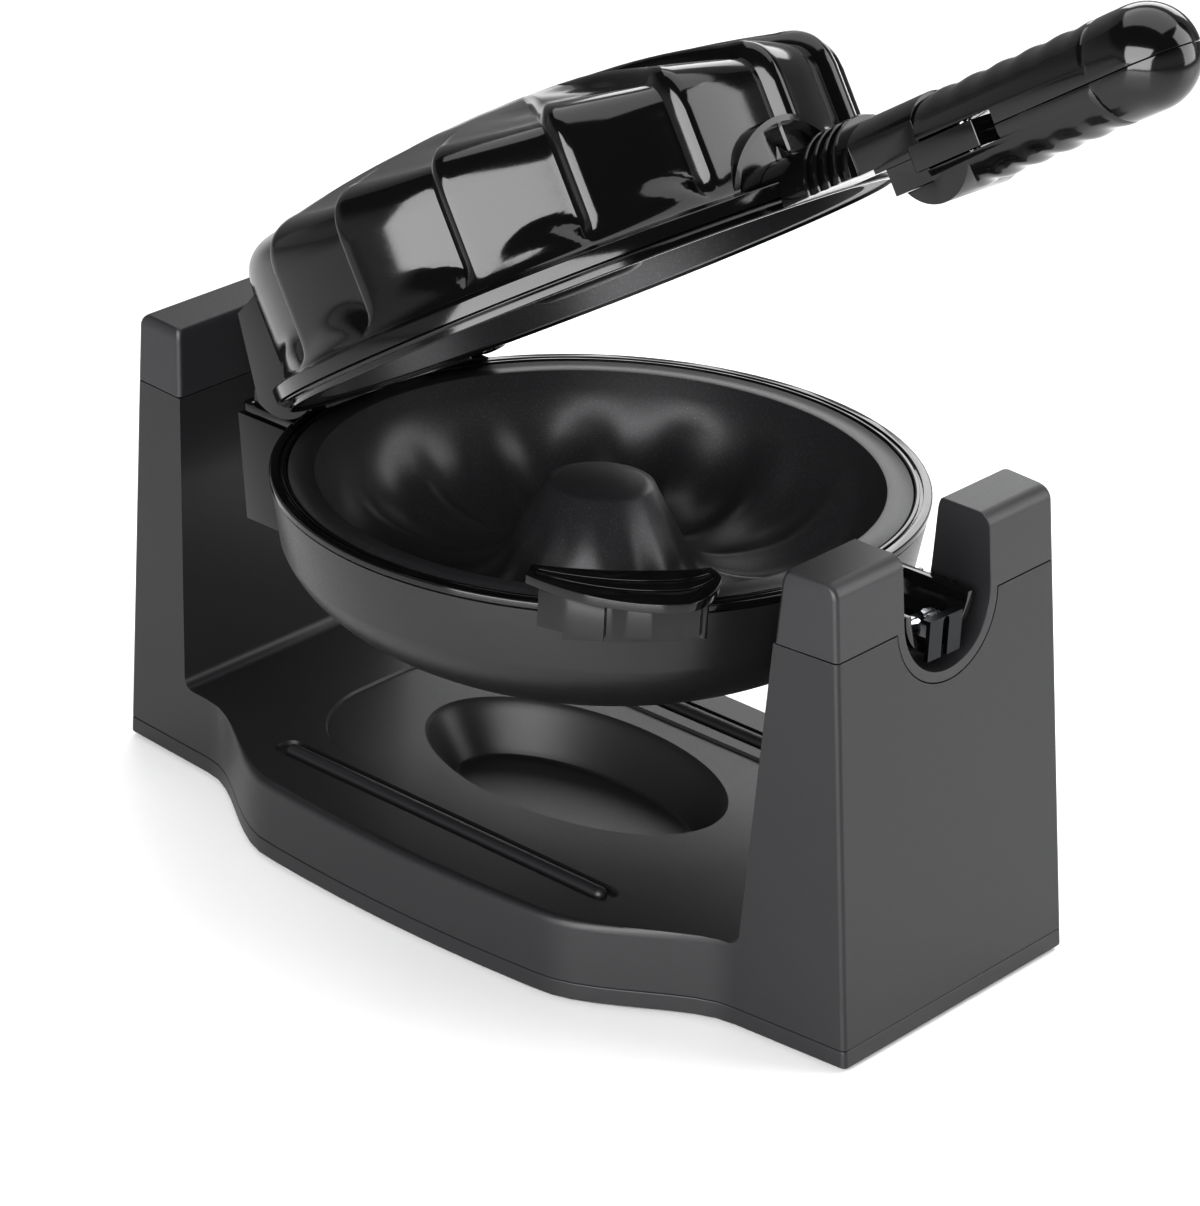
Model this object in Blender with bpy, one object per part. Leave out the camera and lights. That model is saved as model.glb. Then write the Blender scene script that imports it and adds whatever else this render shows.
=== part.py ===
"""Electric cake maker: a ring-cake oven that opens like a clam and flips over on its stand.

Metres, +Z up. X runs from the left tower to the handle, the front is -Y, and the origin is the
centre of the underside of the stand's bottom plate. The head (bowl, lid and handle) is modelled
closed and level, with its heights measured from the flip axis; empties then tip and open it.
"""

import math

import bmesh
import bpy
from mathutils import Matrix, Vector

# Clearances and cutters
GAP = 0.0003
OVERRUN = 0.004

# Driving sizes: the head's radius, from which the stand's length follows
HEAD_X, HEAD_RADIUS = 0.0084, 0.1083
AXIS_Z = 0.138

# Stand
STAND_HALF_LENGTH = HEAD_RADIUS + 0.0567
STAND_HEIGHT = 0.161
STAND_WALL = 0.0026
TOWER_HALF_DEPTH = 0.0551
TOWER_DEPTH_DRAFT = 0.0034
TOWER_DEPTH_FLARE = 0.003
TOWER_CORNER = 0.0015
TOWER_TOP_FILLET = 0.0045
TOWER_TOP_EDGE = 0.0012
LEFT_FOOT, LEFT_TOP, LEFT_DRAFT = 0.0312, 0.0213, 0.0082
RIGHT_FOOT, RIGHT_TOP, RIGHT_DRAFT = 0.0448, 0.0202, 0.0131
CAP_PARTING = 0.1361
PLATE_PARTING = 0.006
PLATE_FLOOR = 0.0025
TRAY_TOP = 0.0284
TRAY_EDGE = 0.003
FRONT_BULGE, REAR_BULGE = 0.0305, 0.0145
BULGE_START, BULGE_FULL = STAND_HALF_LENGTH - 0.043, STAND_HALF_LENGTH - 0.101
PANEL_X, PANEL_Y = (0.075 - STAND_HALF_LENGTH, STAND_HALF_LENGTH - 0.085), (-0.0525, 0.0425)
PANEL_CORNER, PANEL_DEPTH = 0.038, 0.001
WELL_HALF_LENGTH, WELL_HALF_WIDTH, WELL_Y = 0.061, 0.034, -0.002
WELL_FLOOR, WELL_SLOPE, WELL_SIDE_SHARE = 0.0098, 0.011, 0.9
TROUGH_X = (0.085 - STAND_HALF_LENGTH, STAND_HALF_LENGTH - 0.092)
TROUGH_HALF_WIDTH, TROUGH_DEPTH, TROUGH_CORNER = 0.0048, 0.0012, 0.0047
TROUGH_Y = (-0.062, 0.053)
BEAD_RADIUS, BEAD_RISE = 0.0025, 0.00025

# Feet and screws of the stand
FOOT_RADIUS, FOOT_HEIGHT, FOOT_SINK = 0.0075, 0.0015, 0.001
FOOT_X, FOOT_Y = STAND_HALF_LENGTH - 0.022, 0.040
BASE_SCREW_X, BASE_SCREW_Y = STAND_HALF_LENGTH - 0.065, 0.046
SCREW_RADIUS, SCREW_HEAD_RADIUS, SCREW_HEAD, SCREW_LENGTH = 0.0016, 0.0032, 0.002, 0.012
SCREW_SLOT, SCREW_SLOT_DEPTH, SCREW_SINK = 0.001, 0.0009, 0.0029
BOSS_RADIUS = 0.0050

# Flip axis: the axle on the left and the cradle on the right
CRADLE_RADIUS, CRADLE_LINER = 0.021, 0.0035
AXLE_RADIUS, AXLE_BORE = 0.006, 0.0035
AXLE_OUTER = 0.014 - STAND_HALF_LENGTH
BUSH_RADIUS, BUSH_FLANGE, BUSH_FLANGE_THICK = 0.009, 0.0125, 0.0018
BUSH_SEAT_X = 0.0161 - STAND_HALF_LENGTH
RING_RADIUS, RING_THICK = 0.0095, 0.002
GLAND_X, GLAND_Z = 0.018 - STAND_HALF_LENGTH, 0.026
GLAND_BORE, GLAND_SLEEVE, GLAND_FLANGE, GLAND_FLANGE_THICK = 0.0032, 0.0052, 0.0080, 0.0024
GLAND_NOSE, GLAND_BARB = 0.0064, 0.0072

# Bowl and its ring, heights from the flip axis
SHELL_WALL = 0.0022
BOWL_RIM, BOWL_RIM_RADIUS = -0.004, HEAD_RADIUS - 0.0005
BOWL_WAIST, BOWL_WAIST_RADIUS = -0.024, HEAD_RADIUS - 0.0039
BOWL_FLOOR, BOWL_FLOOR_RADIUS = -0.055, HEAD_RADIUS - 0.0463
BOWL_SWELL, BOWL_SWELL_RADIUS = -0.043, HEAD_RADIUS - 0.0113
BEZEL_RADIUS, BEZEL_MOUTH, BEZEL_TOP = HEAD_RADIUS, HEAD_RADIUS - 0.0056, -0.0010
BEZEL_GROOVE_RADIUS, BEZEL_GROOVE = HEAD_RADIUS - 0.0036, 0.0011

# Baking plates
PLATE_RIM_RADIUS, PLATE_MOUTH, PLATE_WALL = BEZEL_MOUTH - 0.0004, BEZEL_MOUTH - 0.0092, 0.0018
PLATE_LIP_TOP = -0.0016
PLATE_DEPTH, PLATE_BELLY_RADIUS = 0.041, HEAD_RADIUS - 0.0523
PLATE_SIDE_RADIUS, PLATE_SIDE = PLATE_MOUTH - 0.0014, 0.0402
CORE_RADIUS, CORE_FOOT_RADIUS, CORE_TOP = 0.018, 0.029, -0.0045
CORE_FOOT, CORE_FOOT_SWEEP, CORE_MOUTH_RADIUS = 0.0254, 0.0325, 0.0144
FLUTES, FLUTE_DEPTH = 16, 0.004
HEATER_RADIUS, HEATER_TUBE, HEATER_GAP_ANGLE = PLATE_BELLY_RADIUS, 0.0031, 0.42
THERMOSTAT_RADIUS, THERMOSTAT_HEIGHT, THERMOSTAT_BLADE = 0.0085, 0.009, 0.004
THERMOSTAT_TOP_RADIUS, THERMOSTAT_BLADE_RADIUS = 0.0072, 0.0028

# Hinge of the lid
HINGE_X, HINGE_Z = HEAD_X - HEAD_RADIUS + 0.0054, 0.018
HINGE_HALF_WIDTH = 0.0475
TAB_LEFT, TAB_RIGHT = HINGE_X - 0.019, HINGE_X + 0.0155
TAB_HALF_WIDTH, TAB_THICK = 0.0465, 0.003
PIN_RADIUS, PIN_END = 0.0025, 0.04625
EAR_INNER, EAR_OUTER, EAR_RADIUS = 0.0350, 0.0440, 0.0055
EAR_FOOT_LEFT, EAR_FOOT_RIGHT = HINGE_X - 0.015, HINGE_X - 0.004
EAR_POCKET_RIGHT, EAR_POCKET_TOP = HINGE_X + 0.0075, HINGE_Z + 0.0115
BLOCK_LEFT, BLOCK_LEFT_LOW, BLOCK_FLOOR = HINGE_X - 0.0192, HINGE_X - 0.0141, -0.041
BLOCK_SWEEP = 0.0182
UPSTAND_LEFT, UPSTAND_HALF_WIDTH, UPSTAND_FLOOR = BLOCK_LEFT - 0.0038, 0.014, -0.0205
AXLE_INNER = BLOCK_LEFT - GAP
AXLE_BOSS_RADIUS, AXLE_BOSS_END = 0.0078, BLOCK_LEFT - 0.0123
COVER_BACK_X, COVER_BACK_Z = HINGE_X - 0.0098, HINGE_Z + 0.0216
COVER_TOP_X, COVER_TOP_Z = HINGE_X + 0.0046, HINGE_Z + 0.0258
COVER_RIGHT, COVER_RIGHT_TOP, COVER_RIGHT_FLOOR = HINGE_X + 0.020, HINGE_Z + 0.0263, HINGE_Z - 0.010

# Lid
FLANGE_RADIUS, FLANGE_LOW, FLANGE_HIGH = HEAD_RADIUS - 0.0003, 0.0042, 0.0088
FLANGE_CHAMFER, FLANGE_BEAD = 0.002, 0.0006
LIP_RADIUS, LIP_LOW = FLANGE_RADIUS - 0.0032, 0.0004
DOME_RADIUS, DOME_FOOT = FLANGE_RADIUS - 0.006, 0.0105
DOME_WALL_RADIUS, DOME_WALL_TOP = DOME_RADIUS - 0.0005, 0.036
DOME_CROWN, DOME_CROWN_EDGE, DOME_CROWN_EDGE_RADIUS = 0.066, 0.0567, DOME_RADIUS - 0.022
DOME_SHOULDER_RADIUS, DOME_SHOULDER = DOME_RADIUS - 0.0025, 0.0505
LOBES, LOBE_DEPTH, FIRST_CREASE = 16, 0.005, math.radians(2.8)
LOBE_SHARES = (0.0, 0.08, 0.18, 0.45, 0.74)
LOBE_FOOT, LOBE_RUN_IN, LOBE_CROWN_RADIUS = 0.01275, 0.0328, DOME_RADIUS - 0.0524
POCKET_RADIUS, POCKET_FACE_RADIUS, POCKET_WALL = 0.0265, DOME_RADIUS - 0.0035, 0.0018

# Journals and the bracket between them
JOURNAL_RADIUS, JOURNAL_WALL, FIN_RADIUS, FIN_THICK = 0.0165, 0.0025, 0.0203, 0.002
FIN_X, FIN_PITCH, FIN_COUNT = STAND_HALF_LENGTH - 0.0375, 0.0045, 4
JOURNAL_END, LOWER_JOURNAL_TOP = STAND_HALF_LENGTH - 0.0145, -0.0006
KEEPER_X, KEEPER_THICK, KEEPER_HALF_WIDTH = STAND_HALF_LENGTH - 0.013, 0.0015, 0.010
KEEPER_TOP, KEEPER_FLOOR, KEEPER_SLOT, KEEPER_SLOT_HEIGHT = -0.0035, -0.017, 0.003, 0.008
KEEPER_PAD_X, KEEPER_PAD, KEEPER_PLAY = STAND_HALF_LENGTH - 0.0275, 0.0030, 0.0021
KEEPER_SCREW_X, KEEPER_SCREW_Y = STAND_HALF_LENGTH - 0.0215, 0.005

# Neck, tongue and grip of the handle
NECK_RADIUS, NECK_HALF_WIDTH, NECK_END = 0.016, 0.013, STAND_HALF_LENGTH + 0.0076
NECK_FLOOR, NECK_BLOCK, NECK_SIDES_X = -0.0010, STAND_HALF_LENGTH - 0.013, STAND_HALF_LENGTH - 0.0195
NECK_BLOCK_FLOOR, NECK_KEEL_HALF_WIDTH, NECK_KEEL_X = -0.0095, 0.01274, KEEPER_X + 0.0045
TONGUE_END, TONGUE_TOP, TONGUE_FLOOR, TONGUE_HALF_WIDTH = NECK_END + 0.0234, 0.0025, -0.0055, 0.0148
GRIP_START, GRIP_RADIUS, GRIP_AXIS_Z = NECK_END + 0.0009, 0.016, -0.0005
GRIP_PANEL, GRIP_BALL_X, GRIP_SEAM_Z = 0.0155, NECK_END + 0.0801, -0.0017
GRIP_SLOT_END, GRIP_SLOT_TOP, GRIP_SLOT_FLOOR = NECK_END + 0.0316, 0.0032, -0.0061
RIPPLE_DEPTH, RIPPLE_PITCH = 0.0009, 0.012
HEEL_X, HEEL_Z, HEEL_RADIUS = NECK_END + 0.0024, -0.0015, 0.0153
SLIDE_PIN_X, SLIDE_PIN_RADIUS, SLIDE_PIN_REACH = NECK_END + 0.0074, 0.002, 0.0109
SLIDE_TRAVEL = 0.008

# Front thumb grip
THUMB_FROM, THUMB_TO = math.radians(-58.8), math.radians(-29.2)
THUMB_INNER = HEAD_RADIUS + 0.0007
THUMB_OUTER, THUMB_BODY_OUTER = THUMB_INNER + 0.0262, THUMB_INNER + 0.0145
THUMB_TOP, THUMB_CAP, THUMB_FLOOR = 0.012, 0.0032, -0.0035
THUMB_PEAK_SHARE, THUMB_LEFT_SHARE, THUMB_RIGHT_SHARE = 0.72, 0.32, 0.30
THUMB_FLUTES, THUMB_FLUTE_DEPTH = 7, 0.0013
THUMB_HOOK_FLOOR, THUMB_HOOK_ANGLE, THUMB_HOOK_OUTER = -0.014, math.radians(9), THUMB_INNER + 0.0059

# How the head stands in the photograph
HEAD_ROLL = math.radians(-2.5)
LID_OPEN = math.radians(32.5)

# Finishes: colour, roughness, metallic
MATT_BLACK = ((0.030, 0.030, 0.031, 1), 0.52, 0.0)
CAP_BLACK = ((0.036, 0.036, 0.037, 1), 0.50, 0.0)
GLOSS_BLACK = ((0.010, 0.010, 0.011, 1), 0.12, 0.0)
SATIN_BLACK = ((0.014, 0.014, 0.015, 1), 0.28, 0.0)
NONSTICK = ((0.045, 0.045, 0.047, 1), 0.42, 0.3)
RUBBER = ((0.012, 0.012, 0.012, 1), 0.85, 0.0)
STEEL = ((0.52, 0.52, 0.53, 1), 0.30, 1.0)
ELEMENT = ((0.20, 0.19, 0.18, 1), 0.45, 0.9)
PHENOLIC = ((0.10, 0.075, 0.055, 1), 0.60, 0.0)

frames = {}


def clear_scene():
    for obj in list(bpy.data.objects):
        bpy.data.objects.remove(obj)


def make_frames():
    """Empties on the axes that the moving bodies turn about."""
    stand = bpy.data.objects.new("stand_frame", None)
    head = bpy.data.objects.new("head_pivot", None)
    head.location = (0, 0, AXIS_Z)
    head.rotation_euler = (HEAD_ROLL, 0, 0)
    lid = bpy.data.objects.new("lid_pivot", None)
    lid.parent = head
    lid.location = (HINGE_X, 0, HINGE_Z)
    lid.rotation_euler = (0, -LID_OPEN, 0)
    grip = bpy.data.objects.new("grip_slide", None)
    grip.parent = lid
    grip.location = (SLIDE_PIN_X - HINGE_X, 0, -HINGE_Z)
    for name, empty, shift in (
        ("stand", stand, (0, 0, 0)),
        ("lower", head, (0, 0, 0)),
        ("lid", lid, (-HINGE_X, 0, -HINGE_Z)),
        ("grip", grip, (-SLIDE_PIN_X, 0, 0)),
    ):
        bpy.context.collection.objects.link(empty)
        frames[name] = (empty, shift)


def add_object(name, bm, body, finish=None):
    """An object of the body's frame. Without a finish it is a cutter, hidden from renders."""
    bmesh.ops.recalc_face_normals(bm, faces=bm.faces)
    mesh = bpy.data.meshes.new(name)
    bm.to_mesh(mesh)
    bm.free()
    mesh.shade_smooth()
    mesh.set_sharp_from_angle(angle=math.radians(32))
    obj = bpy.data.objects.new(name, mesh)
    obj.parent, obj.location = frames[body]
    bpy.context.collection.objects.link(obj)
    if finish is None:
        obj.hide_render = True
        obj.display_type = "WIRE"
        return obj
    colour, roughness, metallic = finish
    material = bpy.data.materials.new(name)
    material.use_nodes = True
    shader = material.node_tree.nodes["Principled BSDF"]
    shader.inputs["Base Color"].default_value = colour
    shader.inputs["Roughness"].default_value = roughness
    shader.inputs["Metallic"].default_value = metallic
    mesh.materials.append(material)
    return obj


def combine(obj, other, operation):
    """Boolean of two objects of one body. The other one becomes a hidden helper."""
    modifier = obj.modifiers.new(f"{operation.lower()} {other.name}", "BOOLEAN")
    modifier.operation = operation
    modifier.object = other
    modifier.solver = "EXACT"
    other.hide_render = True
    other.display_type = "WIRE"
    return obj


def cut(obj, other):
    return combine(obj, other, "DIFFERENCE")


def join(obj, other):
    return combine(obj, other, "UNION")


def arc(centre, radius, start, end, steps):
    """Points of an arc, its angles in degrees."""
    points = []
    for i in range(steps + 1):
        angle = math.radians(start + (end - start) * i / steps)
        points.append((centre[0] + radius * math.cos(angle), centre[1] + radius * math.sin(angle)))
    return points


def bezier(start, control, end, steps):
    """Points of a quadratic curve, without its start."""
    points = []
    for i in range(1, steps + 1):
        t = i / steps
        weights = ((1 - t) ** 2, 2 * t * (1 - t), t * t)
        points.append(tuple(sum(w * p[k] for w, p in zip(weights, (start, control, end))) for k in (0, 1)))
    return points


def ellipse(centre, half_x, half_y, steps):
    points = []
    for i in range(steps):
        angle = math.tau * i / steps
        points.append((centre[0] + half_x * math.cos(angle), centre[1] + half_y * math.sin(angle)))
    return points


def rounded_box(low, high, radius, steps):
    """Outline of a rectangle with round corners, from its low and high corners."""
    (x0, y0), (x1, y1) = low, high
    outline = []
    for centre, start in (
        ((x1 - radius, y0 + radius), -90),
        ((x1 - radius, y1 - radius), 0),
        ((x0 + radius, y1 - radius), 90),
        ((x0 + radius, y0 + radius), 180),
    ):
        outline += arc(centre, radius, start, start + 90, steps)
    return outline


def skin(rings):
    """Mesh over closed rings of as many points each, capped at both ends."""
    bm = bmesh.new()
    rows = [[bm.verts.new(point) for point in ring] for ring in rings]
    count = len(rows[0])
    for low, high in zip(rows, rows[1:]):
        for i in range(count):
            bm.faces.new((low[i], low[(i + 1) % count], high[(i + 1) % count], high[i]))
    bm.faces.new(rows[0][::-1])
    bm.faces.new(rows[-1])
    return bm


def level_rings(outlines):
    """Rings of (x, y, z) from pairs of a height and an outline seen from above."""
    return [[(x, y, z) for x, y in outline] for z, outline in outlines]


def prism(outline, plane, low, high):
    """Outline drawn in the XY, XZ or YZ plane and extruded from low to high along the third axis."""
    order = {"XY": lambda a, b, c: (a, b, c), "XZ": lambda a, b, c: (a, c, b), "YZ": lambda a, b, c: (c, a, b)}
    bm = bmesh.new()
    face = bm.faces.new([bm.verts.new(order[plane](a, b, low)) for a, b in outline])
    grown = bmesh.ops.extrude_face_region(bm, geom=[face])
    moved = [v for v in grown["geom"] if isinstance(v, bmesh.types.BMVert)]
    bmesh.ops.translate(bm, verts=moved, vec=Vector(order[plane](0, 0, high - low)))
    return bm


def box(low, high):
    outline = [(low[0], low[1]), (high[0], low[1]), (high[0], high[1]), (low[0], high[1])]
    return prism(outline, "XY", low[2], high[2])


def turned(profile, steps, along="Z", centre=(0, 0, 0)):
    """Closed profile of (radius, height) points spun about an axis through the centre."""
    bm = bmesh.new()
    verts = [bm.verts.new((radius, 0, height)) for radius, height in profile]
    edges = [bm.edges.new(pair) for pair in zip(verts, verts[1:] + verts[:1])]
    on_axis = [e for e in edges if all(abs(v.co.x) < GAP * GAP for v in e.verts)]
    for edge in on_axis:
        bm.edges.remove(edge)
        edges.remove(edge)
    bmesh.ops.spin(bm, geom=verts + edges, cent=(0, 0, 0), axis=(0, 0, 1), dvec=(0, 0, 0),
                   angle=math.tau, steps=steps, use_duplicate=False)
    bmesh.ops.remove_doubles(bm, verts=bm.verts, dist=GAP / 30)
    if along == "X":
        bmesh.ops.rotate(bm, verts=bm.verts, cent=(0, 0, 0), matrix=Matrix.Rotation(math.pi / 2, 3, "Y"))
    if along == "Y":
        bmesh.ops.rotate(bm, verts=bm.verts, cent=(0, 0, 0), matrix=Matrix.Rotation(-math.pi / 2, 3, "X"))
    bmesh.ops.translate(bm, verts=bm.verts, vec=centre)
    return bm


def disc(radius, low, high, steps, along="Z", centre=(0, 0, 0)):
    return turned([(0, low), (radius, low), (radius, high), (0, high)], steps, along, centre)


def swept(path, radius, sides):
    """Round tube along a path of points in a level plane, with flat ends."""
    rings = []
    up = Vector((0, 0, 1))
    for i, point in enumerate(path):
        before, after = path[max(i - 1, 0)], path[min(i + 1, len(path) - 1)]
        side = (Vector(after) - Vector(before)).normalized().cross(up)
        turns = [math.tau * k / sides for k in range(sides)]
        rings.append([Vector(point) + radius * (math.cos(a) * up + math.sin(a) * side) for a in turns])
    return skin(rings)


def smooth(share):
    """Eases from 0 to 1."""
    share = min(max(share, 0), 1)
    return share * share * (3 - 2 * share)


def tower_x(side, z):
    """Outer and inner face of a tower at height z: side -1 is the left one, 1 the right one."""
    foot, top, draft = (LEFT_FOOT, LEFT_TOP, LEFT_DRAFT) if side < 0 else (RIGHT_FOOT, RIGHT_TOP, RIGHT_DRAFT)
    share = z / STAND_HEIGHT
    outer = STAND_HALF_LENGTH - draft * share
    return side * outer, side * (outer - foot - (top - foot) * share)


def half_depth(x, z):
    """Half the depth of a tower at x: it flares a little towards the inside of the stand."""
    flare = min((STAND_HALF_LENGTH - abs(x)) / (STAND_HALF_LENGTH - BULGE_START), 1)
    return TOWER_HALF_DEPTH - TOWER_DEPTH_DRAFT * z / STAND_HEIGHT + TOWER_DEPTH_FLARE * flare


def stand_plan(z, inset=0, edge=0, corner=TOWER_CORNER):
    """Outline of the stand seen from above, with the bowed front and rear between the towers."""
    left, right = tower_x(-1, z)[0] + inset, tower_x(1, z)[0] - inset
    steps = 5
    bend = [BULGE_START + (BULGE_FULL - BULGE_START) * i / steps for i in range(steps + 1)]
    front, rear = [], []
    for x in [-x for x in bend] + bend[::-1]:
        ease = smooth((BULGE_START - abs(x)) / (BULGE_START - BULGE_FULL))
        front.append((x, -half_depth(x, z) - (FRONT_BULGE - edge) * ease + inset))
        rear.append((x, half_depth(x, z) + (REAR_BULGE - edge) * ease - inset))
    ends = {}
    for key, x in (("left", left), ("right", right)):
        side = math.copysign(1, x)
        deep = half_depth(x, z) - inset
        start = -90 if side > 0 else 180
        centre = x - side * corner
        ends[key, "front"] = arc((centre, -deep + corner), corner, start, start + 90, 2)
        start = 0 if side > 0 else 90
        ends[key, "rear"] = arc((centre, deep - corner), corner, start, start + 90, 2)
    return (front + ends["right", "front"] + ends["right", "rear"] + rear[::-1]
            + ends["left", "rear"] + ends["left", "front"])


def stand_front(inset, low, high):
    """Outline of the stand seen from the front: the tray and the inner faces of the towers."""
    reach = STAND_HALF_LENGTH + OVERRUN
    tray = TRAY_TOP - inset
    fillet = TRAY_EDGE
    left, right = tower_x(-1, tray)[1] - inset, tower_x(1, tray)[1] + inset
    return [
        (-reach, low), (reach, low), (reach, high),
        (tower_x(1, high)[1] + inset, high), (right, tray + fillet), (right - fillet, tray),
        (left + fillet, tray), (left, tray + fillet), (tower_x(-1, high)[1] - inset, high),
        (-reach, high),
    ]


def stand_block(name, inset, low, high, finish=None):
    """The stand's form between two heights: its plan and its front view, intersected."""
    levels = [(low, 0), (TRAY_TOP - TRAY_EDGE, 0), (TRAY_TOP - TRAY_EDGE / 3, TRAY_EDGE / 3),
              (TRAY_TOP, TRAY_EDGE), (high, TRAY_EDGE)]
    plan = skin(level_rings([(z, stand_plan(z, inset, edge)) for z, edge in levels]))
    block = add_object(name, plan, "stand", finish)
    front = prism(stand_front(inset, low - OVERRUN, high + OVERRUN), "XZ", -STAND_HEIGHT, STAND_HEIGHT)
    return combine(block, add_object(f"{name} front", front, "stand"), "INTERSECT")


def cradle_outline(radius, top):
    """U of the cradle seen from the right, open at the top."""
    return [(-radius, top)] + arc((0, AXIS_Z), radius, 180, 360, 14) + [(radius, top)]


def well_rings(wall, top):
    """Rings of the oval well, or of its jacket when a wall is given."""
    floor = WELL_FLOOR - wall
    long, short = WELL_HALF_LENGTH + wall, WELL_HALF_WIDTH + wall
    return level_rings([
        (floor, ellipse((0, WELL_Y), long - WELL_SLOPE, short - WELL_SLOPE * WELL_SIDE_SHARE, 24)),
        (TRAY_TOP - PANEL_DEPTH, ellipse((0, WELL_Y), long, short, 24)),
        (top, ellipse((0, WELL_Y), long, short, 24)),
    ])


def base_points():
    for x in (-BASE_SCREW_X, BASE_SCREW_X):
        for y in (-BASE_SCREW_Y, BASE_SCREW_Y):
            yield x, y


def make_stand_shell():
    low = PLATE_PARTING + GAP
    shell = stand_block("stand_shell", 0, low, CAP_PARTING, MATT_BLACK)
    hollow = stand_block("stand hollow", STAND_WALL, low - OVERRUN, CAP_PARTING + OVERRUN)
    jacket = add_object("well jacket", skin(well_rings(STAND_WALL, TRAY_TOP + OVERRUN)), "stand")
    cut(hollow, jacket)
    for number, (x, y) in enumerate(base_points(), 1):
        boss = disc(BOSS_RADIUS, low - 2 * OVERRUN, TRAY_TOP, 8, centre=(x, y, 0))
        cut(hollow, add_object(f"boss {number}", boss, "stand"))
    cut(shell, hollow)
    panel = rounded_box((PANEL_X[0], PANEL_Y[0]), (PANEL_X[1], PANEL_Y[1]), PANEL_CORNER, 6)
    panel = prism(panel, "XY", TRAY_TOP - PANEL_DEPTH, TRAY_TOP + OVERRUN)
    cut(shell, add_object("tray panel", panel, "stand"))
    cut(shell, add_object("oval well", skin(well_rings(0, TRAY_TOP + OVERRUN)), "stand"))
    for number, y in enumerate(TROUGH_Y, 1):
        slot = rounded_box((TROUGH_X[0], y - TROUGH_HALF_WIDTH), (TROUGH_X[1], y + TROUGH_HALF_WIDTH),
                           TROUGH_CORNER, 4)
        slot = prism(slot, "XY", TRAY_TOP - TROUGH_DEPTH, TRAY_TOP + OVERRUN)
        cut(shell, add_object(f"trough {number}", slot, "stand"))
        join(shell, add_object(f"bead {number}", bead(y), "stand"))
    for number, (x, y) in enumerate(base_points(), 1):
        hole = disc(SCREW_RADIUS + GAP, low - OVERRUN, low + SCREW_LENGTH, 10, centre=(x, y, 0))
        cut(shell, add_object(f"boss hole {number}", hole, "stand"))
    liner = cradle_outline(CRADLE_RADIUS + CRADLE_LINER + GAP, CAP_PARTING + OVERRUN)
    cut(shell, add_object("cradle seat", prism(liner, "YZ", BULGE_START, STAND_HALF_LENGTH), "stand"))
    axle_hole = disc(BUSH_RADIUS + GAP, BUSH_SEAT_X, AXLE_INNER, 16, "X", (0, 0, AXIS_Z))
    cut(shell, add_object("bush seat", axle_hole, "stand"))
    gland = disc(GLAND_SLEEVE + GAP, 0, TOWER_HALF_DEPTH + OVERRUN, 16, "Y", (GLAND_X, 0, GLAND_Z))
    cut(shell, add_object("gland hole", gland, "stand"))


def bead(y):
    """Half-round rib that lies in a trough of the tray, with ball ends."""
    height = TRAY_TOP - TROUGH_DEPTH + BEAD_RISE
    start, end = TROUGH_X[0] + TROUGH_HALF_WIDTH, TROUGH_X[1] - TROUGH_HALF_WIDTH
    profile = [(0, start - BEAD_RADIUS)]
    for middle, degrees in ((start, 46), (start, 90), (end, 90), (end, 134)):
        turn = math.radians(degrees)
        profile.append((BEAD_RADIUS * math.sin(turn), middle - BEAD_RADIUS * math.cos(turn)))
    return turned(profile + [(0, end + BEAD_RADIUS)], 8, "X", (0, y, height))


def tower_rings(side, inset, low, high, fillet=0, edge=0):
    """Rings of one tower between two heights, with a round outer top edge."""
    levels = [(low, 0, 0)]
    if fillet:
        for degrees in (0, 45, 90):
            angle = math.radians(degrees)
            levels.append((high - fillet * (1 - math.sin(angle)), fillet * (1 - math.cos(angle)),
                           edge * (1 - math.cos(angle))))
    else:
        levels.append((high, 0, 0))
    rings = []
    for z, outer_in, other_in in levels:
        outer, inner = tower_x(side, z)
        outer -= side * (inset + outer_in)
        inner += side * (inset + other_in)
        corner = max(TOWER_CORNER - inset, GAP)
        ring = []
        for x, facing in ((outer, side), (inner, -side)):
            deep = half_depth(x, z) - inset - other_in
            start = -90 if facing > 0 else 180
            centre = x - facing * corner
            front = arc((centre, -deep + corner), corner, start, start + 90, 2)
            start = 0 if facing > 0 else 90
            rear = arc((centre, deep - corner), corner, start, start + 90, 2)
            ring.append(front + rear if facing > 0 else rear + front)
        rings.append((z, ring[0] + ring[1]))
    return level_rings(rings)


def make_left_cap():
    rings = tower_rings(-1, 0, CAP_PARTING + GAP, STAND_HEIGHT, TOWER_TOP_FILLET, TOWER_TOP_EDGE)
    cap = add_object("left_tower_cap", skin(rings), "stand", CAP_BLACK)
    hollow = skin(tower_rings(-1, STAND_WALL, CAP_PARTING - OVERRUN, STAND_HEIGHT - STAND_WALL))
    cut(cap, add_object("left cap hollow", hollow, "stand"))
    seat = disc(BUSH_RADIUS + GAP, BUSH_SEAT_X, AXLE_INNER, 16, "X", (0, 0, AXIS_Z))
    cut(cap, add_object("left cap seat", seat, "stand"))


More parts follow.
